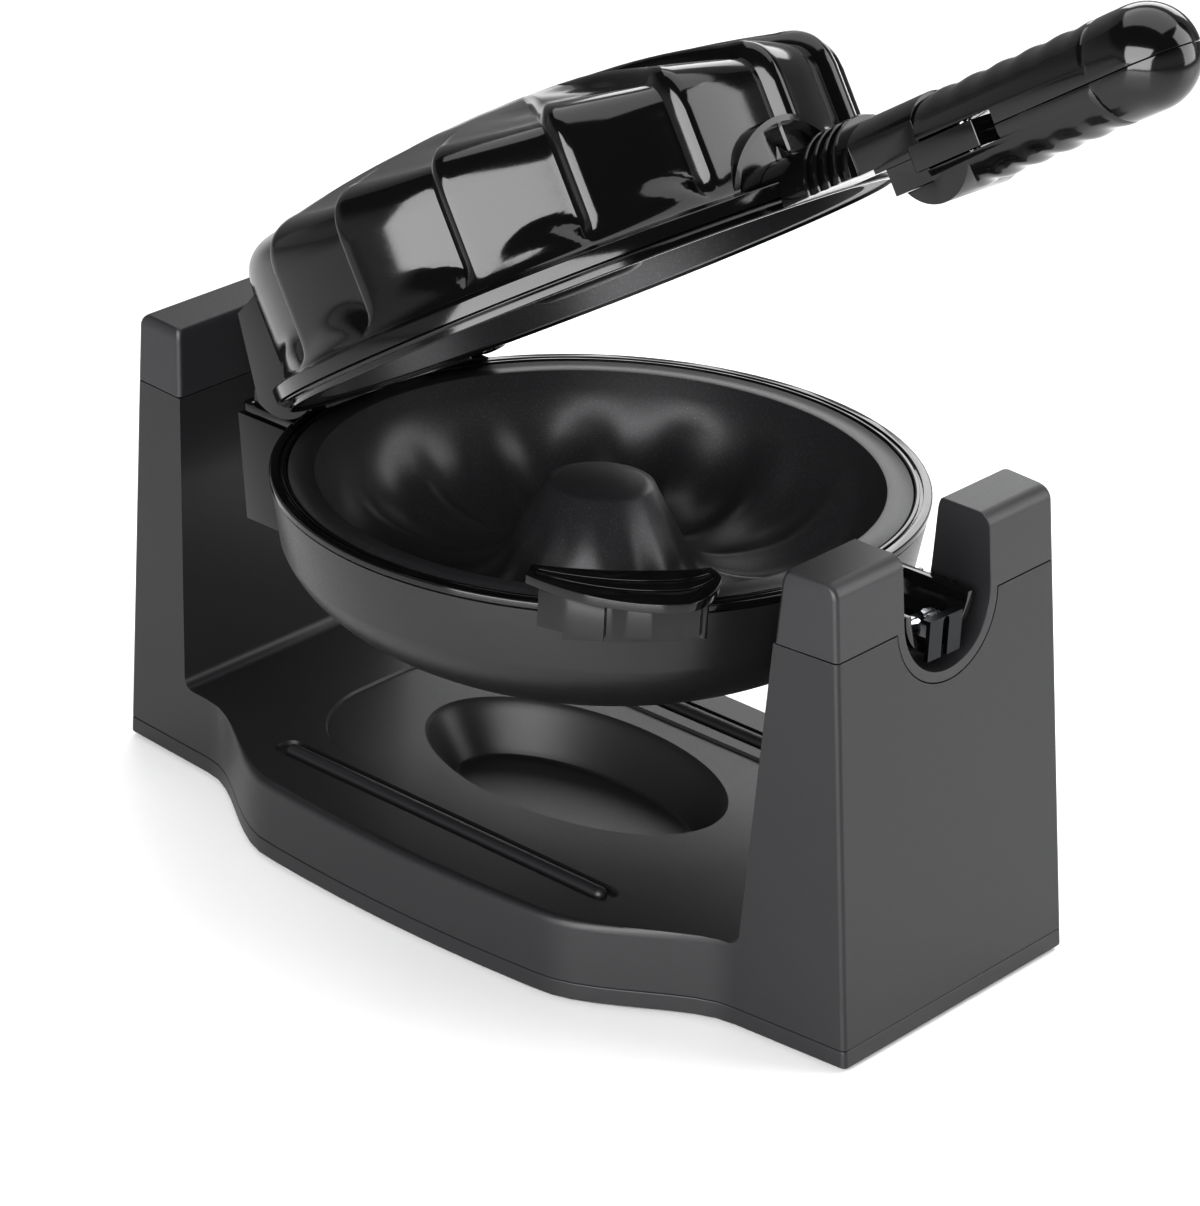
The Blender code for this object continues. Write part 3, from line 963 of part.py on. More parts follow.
def make_handle_neck():
    """Upper journal with its fins, the neck, the block under it and the tongue that the grip slides on."""
    journal = half_round(JOURNAL_RADIUS - GAP, POCKET_FACE_RADIUS / 2, NECK_END, 1, -LOWER_JOURNAL_TOP, 10)
    neck = add_object("handle_neck", journal, "lid", GLOSS_BLACK)
    sides = rounded_box((-NECK_HALF_WIDTH, -STAND_HEIGHT), (NECK_HALF_WIDTH, STAND_HEIGHT), GAP, 1)
    around = rounded_box((-STAND_HEIGHT, -STAND_HEIGHT), (STAND_HEIGHT, STAND_HEIGHT), GAP, 1)
    outside = add_object("neck sides", prism(around, "YZ", NECK_SIDES_X, NECK_END + OVERRUN), "lid")
    core = prism(sides, "YZ", NECK_SIDES_X - OVERRUN, NECK_END + 2 * OVERRUN)
    cut(outside, add_object("neck core", core, "lid"))
    cut(neck, outside)
    for index in range(FIN_COUNT):
        x = FIN_X + index * FIN_PITCH
        fin = half_round(FIN_RADIUS, x, x + FIN_THICK, 1, 2 * GAP, 12)
        join(neck, add_object(f"upper fin {index}", fin, "lid"))
    block = box((NECK_BLOCK, -NECK_HALF_WIDTH, NECK_FLOOR), (NECK_END, NECK_HALF_WIDTH, NECK_RADIUS / 2))
    join(neck, add_object("neck block", block, "lid"))
    half = NECK_KEEL_HALF_WIDTH
    lower = box((NECK_KEEL_X, -half, NECK_BLOCK_FLOOR), (NECK_END, half, NECK_RADIUS / 3))
    join(neck, add_object("neck keel", lower, "lid"))
    tongue = rounded_box((NECK_END - OVERRUN, -TONGUE_HALF_WIDTH), (TONGUE_END, TONGUE_HALF_WIDTH), GAP * 2, 2)
    tongue = prism(tongue, "XY", TONGUE_FLOOR, TONGUE_TOP)
    join(neck, add_object("neck tongue", tongue, "lid"))
    end = SLIDE_PIN_RADIUS + 3 * GAP
    slot = rounded_box((SLIDE_PIN_X - end, -SLIDE_PIN_RADIUS - GAP),
                       (SLIDE_PIN_X + SLIDE_TRAVEL + end, SLIDE_PIN_RADIUS + GAP), SLIDE_PIN_RADIUS, 3)
    slot = prism(slot, "XY", TONGUE_FLOOR - OVERRUN, TONGUE_TOP + OVERRUN)
    cut(neck, add_object("slide slot", slot, "lid"))
    clear = turned([(0, LIP_LOW - OVERRUN), (FLANGE_RADIUS + GAP, LIP_LOW - OVERRUN),
                    (FLANGE_RADIUS + GAP, FLANGE_HIGH + GAP), (POCKET_FACE_RADIUS + GAP, FLANGE_HIGH + GAP),
                    (POCKET_FACE_RADIUS + GAP, STAND_HEIGHT), (0, STAND_HEIGHT)], 48, centre=(HEAD_X, 0, 0))
    cut(neck, add_object("neck flange clearance", clear, "lid"))


def grip_rings():
    """Rings of the whole grip along X: rippled above and below, flat at the sides, with a ball end."""
    stations = []
    steps = 14
    for i in range(steps + 1):
        x = GRIP_START + (GRIP_BALL_X - GRIP_START) * i / steps
        ripple = RIPPLE_DEPTH * (0.5 + 0.5 * math.cos(math.tau * (x - GRIP_START) / RIPPLE_PITCH))
        stations.append((x, GRIP_RADIUS - ripple))
    for degrees in (30, 58, 80):
        angle = math.radians(degrees)
        stations.append((GRIP_BALL_X + GRIP_RADIUS * math.sin(angle), GRIP_RADIUS * math.cos(angle)))
    return stations


def make_grip_half(name, up):
    """One moulded half of the grip: solid, with the slot that runs over or under the tongue."""
    floor = GRIP_SEAM_Z + up * GAP / 2 - GRIP_AXIS_Z
    rings = []
    for x, radius in grip_rings():
        start = math.degrees(math.asin(max(min(floor / radius, 1), -1)))
        end = 180 - start if up > 0 else -180 - start
        outline = arc((0, 0), radius, start, end, 10)
        flat = []
        for y, z in outline:
            y = max(min(y, GRIP_PANEL), -GRIP_PANEL)
            flat.append((x, y, GRIP_AXIS_Z + z))
        rings.append(flat)
    grip = add_object(name, skin(rings), "grip", GLOSS_BLACK)
    if up < 0:
        heel = disc(HEEL_RADIUS, -GRIP_PANEL + TOWER_CORNER, GRIP_PANEL - TOWER_CORNER, 28, "Y",
                    (HEEL_X, 0, HEEL_Z))
        heel = add_object("grip heel", heel, "grip")
        keel = box((GRIP_START - 2 * GRIP_RADIUS, -GRIP_RADIUS, NECK_BLOCK_FLOOR - GAP),
                   (GRIP_START, GRIP_RADIUS, GRIP_RADIUS))
        cut(heel, add_object("keel clearance", keel, "grip"))
        above = box((GRIP_START - GRIP_RADIUS, -GRIP_RADIUS, GRIP_SLOT_FLOOR),
                    (GRIP_SLOT_END, GRIP_RADIUS, GRIP_RADIUS))
        cut(heel, add_object("above heel", above, "grip"))
        join(grip, heel)
    slot = box((0, -GRIP_RADIUS, GRIP_SLOT_FLOOR), (GRIP_SLOT_END, GRIP_RADIUS, GRIP_SLOT_TOP))
    cut(grip, add_object(f"{name} slot", slot, "grip"))
    low, high = sorted((0, up * (SLIDE_PIN_REACH + GAP)))
    hole = disc(SLIDE_PIN_RADIUS + GAP, low, high, 12, centre=(SLIDE_PIN_X, 0, 0))
    cut(grip, add_object(f"{name} pin seat", hole, "grip"))


def make_slide_pin():
    pin = disc(SLIDE_PIN_RADIUS, -SLIDE_PIN_REACH, SLIDE_PIN_REACH, 12, centre=(SLIDE_PIN_X, 0, 0))
    add_object("slide_pin", pin, "grip", STEEL)


def thumb_reach(share):
    """How far the thumb grip stands out along the ring: it widens to the right, then turns in."""
    if share < THUMB_PEAK_SHARE:
        rise = share / THUMB_PEAK_SHARE
        return THUMB_LEFT_SHARE + (1 - THUMB_LEFT_SHARE) * math.sin(rise * math.pi / 2)
    fall = (share - THUMB_PEAK_SHARE) / (1 - THUMB_PEAK_SHARE)
    return 1 - (1 - THUMB_RIGHT_SHARE) * fall * fall


def thumb_outline(outer, flutes, depth):
    """Plan of the thumb grip: concave towards the ring, bowed outside with a round right end."""
    steps = 28
    inner, outside = [], []
    for i in range(steps + 1):
        share = i / steps
        angle = THUMB_FROM + (THUMB_TO - THUMB_FROM) * share
        radius = THUMB_INNER + (outer - THUMB_INNER) * thumb_reach(share)
        radius -= depth * (1 - math.cos(math.tau * share * flutes)) / 2
        outside.append((HEAD_X + radius * math.cos(angle), radius * math.sin(angle)))
        if i % 2 == 0:
            inner.append((HEAD_X + THUMB_INNER * math.cos(angle), THUMB_INNER * math.sin(angle)))
    return outside + inner[::-1]


def make_front_grip():
    """Thumb grip on the front of the lower ring: a fluted body, screwed to the bowl, and its cap."""
    cap_low = THUMB_TOP - THUMB_CAP
    cap = prism(thumb_outline(THUMB_OUTER, 0, 0), "XY", cap_low + GAP, THUMB_TOP)
    add_object("front_grip_cap", cap, "lower", GLOSS_BLACK)
    body = prism(thumb_outline(THUMB_BODY_OUTER, THUMB_FLUTES, THUMB_FLUTE_DEPTH), "XY", THUMB_FLOOR, cap_low)
    body = add_object("front_grip_body", body, "lower", GLOSS_BLACK)
    middle = (THUMB_FROM + THUMB_TO) / 2
    hook = []
    for angle in (middle - THUMB_HOOK_ANGLE, middle, middle + THUMB_HOOK_ANGLE):
        hook.append((HEAD_X + THUMB_HOOK_OUTER * math.cos(angle), THUMB_HOOK_OUTER * math.sin(angle)))
    for angle in (middle + THUMB_HOOK_ANGLE, middle, middle - THUMB_HOOK_ANGLE):
        hook.append((HEAD_X + BOWL_WAIST_RADIUS * math.cos(angle), BOWL_WAIST_RADIUS * math.sin(angle)))
    hook = add_object("grip hook", prism(hook, "XY", THUMB_HOOK_FLOOR, THUMB_FLOOR + OVERRUN / 2), "lower")
    rim = [(BEZEL_RADIUS + GAP, BOWL_RIM + GAP), (BEZEL_RADIUS + GAP, OVERRUN), (0, OVERRUN)]
    clear = [(0, BOWL_FLOOR - GAP)] + bowl_profile(GAP) + rim
    cut(hook, add_object("hook clearance", turned(clear, 40, centre=(HEAD_X, 0, 0)), "lower"))
    join(body, hook)


def build():
    clear_scene()
    make_frames()
    make_stand_shell()
    make_left_cap()
    make_right_cap()
    make_bottom_plate()
    make_feet()
    make_base_screws()
    make_axle_parts()
    make_gland()
    make_lower_shell()
    make_lower_bezel()
    make_plate("lower_plate", "lower", 1)
    make_heater("lower_heater", "lower", 1)
    make_thermostat("lower_thermostat", "lower", 1)
    make_lower_hinge_block()
    make_hinge_pins()
    make_lower_journal()
    make_rest_bracket()
    make_front_grip()
    make_lid_shell()
    make_lid_bezel()
    make_plate("upper_plate", "lid", -1)
    make_heater("upper_heater", "lid", -1)
    make_thermostat("upper_thermostat", "lid", -1)
    make_upper_hinge_block()
    make_handle_neck()
    make_grip_half("grip_upper_half", 1)
    make_grip_half("grip_lower_half", -1)
    make_slide_pin()


build()
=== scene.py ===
"""Looks of the electric cake maker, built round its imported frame. Metres, +Z up, front towards -Y."""

import math

import bmesh
import bpy
from mathutils import Matrix, Vector


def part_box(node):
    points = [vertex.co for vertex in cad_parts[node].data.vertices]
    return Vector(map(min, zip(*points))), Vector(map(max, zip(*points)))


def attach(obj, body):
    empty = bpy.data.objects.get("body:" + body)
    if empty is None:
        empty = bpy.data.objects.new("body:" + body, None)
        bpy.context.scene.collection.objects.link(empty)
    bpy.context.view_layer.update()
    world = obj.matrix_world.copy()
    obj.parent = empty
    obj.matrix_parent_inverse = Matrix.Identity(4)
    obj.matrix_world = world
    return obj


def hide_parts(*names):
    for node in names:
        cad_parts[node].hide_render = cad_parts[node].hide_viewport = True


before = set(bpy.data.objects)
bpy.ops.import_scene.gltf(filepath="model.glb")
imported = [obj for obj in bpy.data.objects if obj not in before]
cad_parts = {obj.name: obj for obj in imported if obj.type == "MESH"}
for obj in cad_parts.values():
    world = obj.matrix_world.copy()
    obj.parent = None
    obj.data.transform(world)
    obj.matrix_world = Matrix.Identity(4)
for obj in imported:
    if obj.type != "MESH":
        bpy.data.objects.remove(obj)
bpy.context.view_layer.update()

# Camera. A long lens a metre and a half away, looking down at the front right corner of the stand.
# The object stands on the stage's floor, a millimetre and a half below the bottom plate.
camera_place = Vector((0.94973, -1.03029, 0.76456))
azimuth, elevation, roll = (math.radians(a) for a in (42.408, 25.808, 0.8705))
back = Vector((
    math.sin(azimuth) * math.cos(elevation), -math.cos(azimuth) * math.cos(elevation), math.sin(elevation)))
right = Vector((0, 0, 1)).cross(back).normalized()
axes = Matrix((right, back.cross(right), back)).transposed() @ Matrix.Rotation(roll, 3, "Z")
camera = bpy.data.objects.new("camera", bpy.data.cameras.new("camera"))
camera.matrix_world = Matrix.Translation(camera_place) @ axes.to_4x4()
camera.data.sensor_width = 36
camera.data.lens = 139.86
camera.data.clip_start = 0.05
bpy.context.collection.objects.link(camera)
bpy.context.scene.camera = camera


# Stage. A seamless sweep of satin white vinyl under soft boxes: a large one in front and smaller
# ones overhead, on the right and behind, in a room that is pale at eye level and dark above.
def linear(hex_colour):
    """Linear colour from an sRGB hex value."""
    parts = [int(hex_colour[i:i + 2], 16) / 255 for i in (0, 2, 4)]
    return (*(p / 12.92 if p <= 0.04045 else ((p + 0.055) / 1.055) ** 2.4 for p in parts), 1)


def add_node(tree, kind, inputs=None, **settings):
    """Adds a node with its settings, and sets or links its inputs; a linked node gives its first output."""
    made = tree.nodes.new(kind)
    for key, value in settings.items():
        setattr(made, key, value)
    for key, value in (inputs or {}).items():
        if isinstance(value, bpy.types.Node):
            value = next(output for output in value.outputs if output.enabled)
        if isinstance(value, bpy.types.NodeSocket):
            tree.links.new(value, made.inputs[key])
        else:
            made.inputs[key].default_value = value
    return made


def new_material(name):
    """A material, its empty tree, and the object coordinates for its patterns."""
    material = bpy.data.materials.new(name)
    material.use_nodes = True
    material.node_tree.nodes.clear()
    place = add_node(material.node_tree, "ShaderNodeTexCoord").outputs["Object"]
    return material, material.node_tree, place


def finish_material(material, inputs):
    """Closes a material's tree with its shader."""
    shader = add_node(material.node_tree, "ShaderNodeBsdfPrincipled", inputs)
    add_node(material.node_tree, "ShaderNodeOutputMaterial", {"Surface": shader})
    return material


def arc(centre, radius, start, end, steps):
    """Points of an arc, its angles in degrees."""
    turns = [math.radians(start + (end - start) * i / steps) for i in range(steps + 1)]
    return [(centre[0] + radius * math.cos(a), centre[1] + radius * math.sin(a)) for a in turns]


def as_object(name, bm):
    """A loose object made from a mesh under construction, its faces turned outwards."""
    bmesh.ops.recalc_face_normals(bm, faces=bm.faces)
    mesh = bpy.data.meshes.new(name)
    bm.to_mesh(mesh)
    bm.free()
    made = bpy.data.objects.new(name, mesh)
    bpy.context.collection.objects.link(made)
    return made


floor_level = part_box("foot_left_front")[0].z
away = Vector((-back.x, -back.y, 0)).normalized()
across = Vector((away.y, -away.x, 0))
sweep = bmesh.new()
rows = []
for depth, height in [(-4, 0), (2.5, 0)] + arc((2.5, 1.5), 1.5, -80, 0, 8) + [(4, 5)]:
    middle = away * depth + Vector((0, 0, floor_level + height))
    rows.append([sweep.verts.new(middle + across * side) for side in (-5, 5)])
for low, high in zip(rows, rows[1:]):
    sweep.faces.new((low[1], low[0], high[0], high[1]))
floor = as_object("floor", sweep)
floor.data.shade_smooth()
# Calendered vinyl: an even, neutral white, with a soft sheen that faintly mirrors what stands on it.
vinyl = new_material("calendered_satin_white_vinyl")[0]
floor.data.materials.append(finish_material(vinyl, {
    "Base Color": linear("f7f7f7"), "Roughness": 0.20, "IOR": 1.45}))

for name, place, target, size, power in (
    ("box_overhead", (-0.1, 0.35, 1.4), (0, 0, 0.1), (1.8, 1.2), 17),
    ("box_front", (0.64, -1.58, 0.74), (0, -0.05, 0.2), (1.9, 1.4), 74),
    ("box_right", (0.98, 0.85, 0.70), (0, 0, 0.25), (0.8, 1.2), 14),
    ("box_rear", (-0.6, 1.3, 0.8), (0, 0, 0.15), (1.2, 0.6), 8),
):
    data = bpy.data.lights.new(name, "AREA")
    data.shape = "RECTANGLE"
    data.size, data.size_y = size
    data.energy = power
    light = bpy.data.objects.new(name, data)
    light.location = place
    light.rotation_euler = (Vector(target) - Vector(place)).to_track_quat("-Z", "Y").to_euler()
    bpy.context.collection.objects.link(light)

world = bpy.data.worlds.new("studio")
world.use_nodes = True
heading = add_node(world.node_tree, "ShaderNodeTexCoord").outputs["Generated"]
height = add_node(world.node_tree, "ShaderNodeSeparateXYZ", {"Vector": heading}).outputs["Z"]
glow = add_node(world.node_tree, "ShaderNodeMapRange", {
    "Value": height, "From Min": 0.16, "From Max": 0.42, "To Min": 0.62, "To Max": 0.05})
room = world.node_tree.nodes["Background"]
room.inputs["Color"].default_value = linear("ffffff")
world.node_tree.links.new(glow.outputs["Result"], room.inputs["Strength"])
bpy.context.scene.world = world
bpy.context.scene.view_settings.view_transform = "Standard"
bpy.context.scene.view_settings.gamma = 0.80


# Stand. One injection moulding of black ABS: two hollow towers joined by a bowed tray, with a fine
# spark-eroded texture, an oval well, a shallow panel round it, and a rib in a trough on each side.
def bezier(start, control, end, steps):
    """Points of a quadratic curve, without its start."""
    points = []
    for i in range(1, steps + 1):
        t = i / steps
        weights = ((1 - t) ** 2, 2 * t * (1 - t), t * t)
        points.append(tuple(sum(w * p[k] for w, p in zip(weights, (start, control, end))) for k in (0, 1)))
    return points


def smooth(share):
    """Eases from 0 to 1."""
    share = min(max(share, 0), 1)
    return share * share * (3 - 2 * share)


def skin(rings):
    """Closed mesh over rings of as many points each."""
    bm = bmesh.new()
    rows = [[bm.verts.new(point) for point in ring] for ring in rings]
    count = len(rows[0])
    for low, high in zip(rows, rows[1:]):
        for i in range(count):
            bm.faces.new((low[i], low[(i + 1) % count], high[(i + 1) % count], high[i]))
    bm.faces.new(rows[0][::-1])
    bm.faces.new(rows[-1])
    return bm


def loft(outlines):
    """Closed mesh over pairs of a height and an outline seen from above."""
    return skin([[(x, y, z) for x, y in outline] for z, outline in outlines])


def prism(outline, plane, low, high):
    """Outline in the XY, XZ or YZ plane, extruded from low to high along the third axis."""
    order = {"XY": (0, 1, 2), "XZ": (0, 2, 1), "YZ": (2, 0, 1)}[plane]
    return skin([[[(a, b, c)[k] for k in order] for a, b in outline] for c in (low, high)])


def box(low, high):
    outline = [(low[0], low[1]), (high[0], low[1]), (high[0], high[1]), (low[0], high[1])]
    return prism(outline, "XY", low[2], high[2])


def turned(profile, steps, along="Z", centre=(0, 0, 0)):
    """Closed profile of (radius, height) points spun about an axis through the centre."""
    turn = {"X": Matrix.Rotation(math.pi / 2, 4, "Y"), "Y": Matrix.Rotation(-math.pi / 2, 4, "X")}
    place = Matrix.Translation(centre) @ turn.get(along, Matrix())
    bm = bmesh.new()
    rows = []
    for radius, height in profile:
        turns = [math.tau * k / steps for k in range(steps if radius else 1)]
        ring = [(radius * math.cos(a), radius * math.sin(a), height) for a in turns]
        rows.append([bm.verts.new(place @ Vector(point)) for point in ring])
    for low, high in zip(rows, rows[1:] + rows[:1]):
        if len(low) == len(high) == 1:
            continue
        for k in range(steps):
            face = [row[(k + step) % len(row)] for row, step in ((low, 0), (low, 1), (high, 1), (high, 0))]
            bm.faces.new(dict.fromkeys(face))
    bmesh.ops.remove_doubles(bm, verts=bm.verts, dist=1e-6)
    return bm


def disc(radius, low, high, steps, along="Z", centre=(0, 0, 0)):
    return turned([(0, low), (radius, low), (radius, high), (0, high)], steps, along, centre)


def rounded_box(low, high, radius, steps):
    """Outline of a rectangle with round corners."""
    (x0, y0), (x1, y1) = low, high
    outline = []
    for centre, start in (((x1 - radius, y0 + radius), -90), ((x1 - radius, y1 - radius), 0),
                          ((x0 + radius, y1 - radius), 90), ((x0 + radius, y0 + radius), 180)):
        outline += arc(centre, radius, start, start + 90, steps)
    return outline


def settle(piece):
    """Makes a plain mesh of the piece and its modifiers."""
    graph = bpy.context.evaluated_depsgraph_get()
    result = bpy.data.meshes.new_from_object(piece.evaluated_get(graph))
    piece.modifiers.clear()
    piece.data = result
    return piece


def combine(target, tool, operation="DIFFERENCE"):
    """Boolean of two objects, applied at once; the tool is used up."""
    modifier = target.modifiers.new(operation, "BOOLEAN")
    modifier.operation, modifier.object, modifier.solver = operation, tool, "EXACT"
    settle(target)
    bpy.data.objects.remove(tool)
    return target


def cut(target, name, form):
    """Cuts a mesh under construction out of a piece."""
    return combine(target, as_object(name, form))


def join(target, name, form):
    """Joins a mesh under construction to a piece."""
    return combine(target, as_object(name, form), "UNION")


def soften(piece, width, segments=3):
    """Rounds the piece's hard edges as the mould does."""
    bm = bmesh.new()
    bm.from_mesh(piece.data)
    bmesh.ops.remove_doubles(bm, verts=bm.verts, dist=2e-6)
    bmesh.ops.dissolve_limit(bm, angle_limit=math.radians(0.4), verts=bm.verts, edges=bm.edges)
    bm.to_mesh(piece.data)
    bm.free()
    bevel = piece.modifiers.new("edges", "BEVEL")
    bevel.width, bevel.segments, bevel.limit_method = width, segments, "ANGLE"
    bevel.angle_limit, bevel.miter_outer = math.radians(28), "MITER_ARC"
    return settle(piece)


places = {"stand": Matrix()}


def dress(piece, material, body, *nodes, crease=35, flat=False):
    """Sets a finished piece on its body, in its material and in place of its CAD nodes.

    Angles above the crease stay sharp. Flat turns the corner normals towards the large faces, so
    that walls with rounded edges shade flat.
    """
    piece.data.transform(places[body])
    piece.data.materials.clear()
    piece.data.materials.append(material)
    piece.data.shade_smooth()
    piece.data.set_sharp_from_angle(angle=math.radians(crease))
    if flat:
        weighted = piece.modifiers.new("flat walls", "WEIGHTED_NORMAL")
        weighted.mode, weighted.weight, weighted.keep_sharp = "FACE_AREA", 90, True
        settle(piece)
    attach(piece, body)
    if nodes:
        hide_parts(*nodes)


def textured_abs(name, colours, roughness):
    """Moulded black ABS with a fine spark-eroded grain: dull, with soft wide highlights.

    The grain is about 0.1 mm on the real moulding, too fine to show, so it is drawn coarser.
    """
    grain_mm = 0.45
    material, tree, place = new_material(name)
    grain = add_node(tree, "ShaderNodeTexNoise", {
        "Vector": place, "Scale": 1000 / grain_mm, "Detail": 3.0, "Roughness": 0.6})
    drift = add_node(tree, "ShaderNodeTexNoise", {"Vector": place, "Scale": 9.0, "Detail": 2.0})
    tone = add_node(tree, "ShaderNodeMix", {
        "Factor": drift, "A": linear(colours[0]), "B": linear(colours[1])}, data_type="RGBA")
    dullness = add_node(tree, "ShaderNodeMapRange", {
        "Value": grain, "From Min": 0.3, "From Max": 0.7,
        "To Min": roughness - 0.05, "To Max": roughness + 0.06})
    bumped = add_node(tree, "ShaderNodeBump", {"Strength": 0.22, "Distance": 0.00004, "Height": grain})
    return finish_material(material, {
        "Base Color": tone, "Roughness": dullness, "Normal": bumped, "IOR": 1.53})


wall, gap, corner_radius = 0.0026, 0.0003, 0.0018
half_length, stand_height, axis_height = 0.165, 0.161, 0.138
tower_depth, depth_draft, depth_flare = 0.0551, 0.0034, 0.003
cap_parting, plate_parting = 0.1361, 0.006
tray_top, tray_edge = 0.0284, 0.003
bulge_start, bulge_full = 0.122, 0.064
bulges = {-1: 0.0305, 1: 0.0145}  # of the front and of the rear
towers = {-1: (0.0312, 0.0213, 0.0082), 1: (0.0448, 0.0202, 0.0131)}  # length at foot and top, draft


def tower_x(side, z):
    """Outer and inner face of a tower at height z."""
    foot, top, draft = towers[side]
    share = z / stand_height
    outer = half_length - draft * share
    return side * outer, side * (outer - foot - (top - foot) * share)


def half_depth(x, z):
    """Half the depth of a tower at x, which flares a little towards the inside of the stand."""
    flare = min((half_length - abs(x)) / (half_length - bulge_start), 1)
    return tower_depth - depth_draft * z / stand_height + depth_flare * flare


def round_corner(x, deep, facing, y_side, radius):
    """Arc of one corner of an outline seen from above; facing and y_side give its quarter."""
    start = {(1, -1): -90, (1, 1): 0, (-1, 1): 90, (-1, -1): 180}[facing, y_side]
    return arc((x - facing * radius, y_side * (deep - radius)), radius, start, start + 90, 4)


def stand_plan(z, inset=0, edge=0):
    """Outline of the stand seen from above, with its bowed front and rear."""
    bend = [bulge_start - bulge_start * i / 18 for i in range(19)]
    sides = {-1: [], 1: []}
    for x in [-x for x in bend] + bend[-2::-1]:
        ease = smooth((bulge_start - abs(x)) / (bulge_start - bulge_full))
        bow = 1 - 0.10 * (abs(x) / bulge_full) ** 2 * ease
        for side in (-1, 1):
            sides[side].append((x, side * (half_depth(x, z) + (bulges[side] - edge) * ease * bow - inset)))
    ends = []
    for facing, y_side in ((1, -1), (1, 1), (-1, 1), (-1, -1)):
        x = tower_x(facing, z)[0] - facing * inset
        ends.append(round_corner(x, half_depth(x, z) - inset, facing, y_side, corner_radius))
    return sides[-1] + ends[0] + ends[1] + sides[1][::-1] + ends[2] + ends[3]


def stand_block(name, inset, low, high):
    """The stand's form between two heights: its plan and its front view, intersected."""
    rings = [(low, stand_plan(low, inset))]
    for degrees in range(0, 91, 18):
        turn = math.radians(degrees)
        z = tray_top - tray_edge * (1 - math.sin(turn))
        rings.append((z, stand_plan(z, inset, tray_edge * (1 - math.cos(turn)))))
    rings.append((high, stand_plan(high, inset, tray_edge)))
    reach, tray, over, fillet = 0.18, tray_top - inset, high + 0.01, 0.004
    outline = [(-reach, low - 0.01), (reach, low - 0.01), (reach, over), (tower_x(1, over)[1] + inset, over)]
    outline += arc((tower_x(1, tray)[1] + inset - fillet, tray + fillet), fillet, 0, -90, 5)
    outline += arc((tower_x(-1, tray)[1] - inset + fillet, tray + fillet), fillet, -90, -180, 5)
    outline += [(tower_x(-1, over)[1] - inset, over), (-reach, over)]
    front_view = as_object("front view", prism(outline, "XZ", -0.2, 0.2))
    return combine(as_object(name, loft(rings)), front_view, "INTERSECT")


def cradle(radius, top):
    """U of the cradle seen from the right, open at the top."""
    return [(-radius, top)] + arc((0, axis_height), radius, 180, 360, 40) + [(radius, top)]


def oval(long, short):
    """Outline of the well, whose middle lies 2 mm in front of the axle."""
    turns = [math.tau * i / 72 for i in range(72)]
    return [(long * math.cos(a), -0.002 + short * math.sin(a)) for a in turns]


def capsule(radius, start, end, y, z):
    """Rod along X with ball ends."""
    quarter = [math.radians(a) for a in range(10, 91, 10)]
    profile = [(0, start)]
    profile += [(radius * math.sin(a), start + radius - radius * math.cos(a)) for a in quarter]
    profile += [(radius * math.sin(a), end - radius + radius * math.cos(a)) for a in quarter[::-1]]
    return turned(profile + [(0, end)], 24, "X", (0, y, z))


stand_abs = textured_abs("spark_eroded_black_abs", ("1d1d1f", "222224"), 0.42)
shell = stand_block("stand_moulding", 0, plate_parting + gap, cap_parting)
hollow = stand_block("hollow", wall, 0, cap_parting + 0.01)
cut(hollow, "jacket of the well", loft([
    (0.0072, oval(0.0526, 0.0267)), (tray_top - 0.001, oval(0.0636, 0.0366)),
    (tray_top + 0.004, oval(0.0636, 0.0366))]))
combine(shell, hollow)
panel = [(z, rounded_box((-0.090 - wider, -0.0525 - wider), (0.080 + wider, 0.0425 + wider), 0.038, 14))
         for z, wider in ((tray_top - 0.0011, 0), (tray_top - 0.0002, 0.0004), (tray_top + 0.003, 0.0012))]
cut(shell, "panel", loft(panel))
cut(shell, "well", loft([
    (0.0098, oval(0.0490, 0.0235)), (0.0104, oval(0.0507, 0.0250)), (0.0125, oval(0.0524, 0.0266)),
    (0.0235, oval(0.0592, 0.0325)), (0.0256, oval(0.0602, 0.0334)), (0.0268, oval(0.0615, 0.0346)),
    (tray_top + 0.003, oval(0.0660, 0.0390))]))
start, end, half_width = -0.080, 0.073, 0.0048
for y in (-0.062, 0.053):
    trough = []
    for z, wider in ((tray_top - 0.0014, 0), (tray_top + 0.002, 0.0008)):
        low, high = (start - wider, y - half_width - wider), (end + wider, y + half_width + wider)
        trough.append((z, rounded_box(low, high, 0.0047, 10)))
    cut(shell, "trough", loft(trough))
    join(shell, "rib", capsule(0.0026, start + 0.0035, end - 0.0035, y, tray_top - 0.0010))
cut(shell, "cradle seat", prism(cradle(0.0248, cap_parting + 0.02), "YZ", 0.12, 0.17))
cut(shell, "bush seat", disc(0.0093, -0.150, -0.12, 48, "X", (0, 0, axis_height)))
cut(shell, "gland hole", disc(0.0055, 0, 0.06, 32, "Y", (-0.147, 0, 0.026)))
dress(soften(shell, 0.0007), stand_abs, "stand", "stand_shell", flat=True)


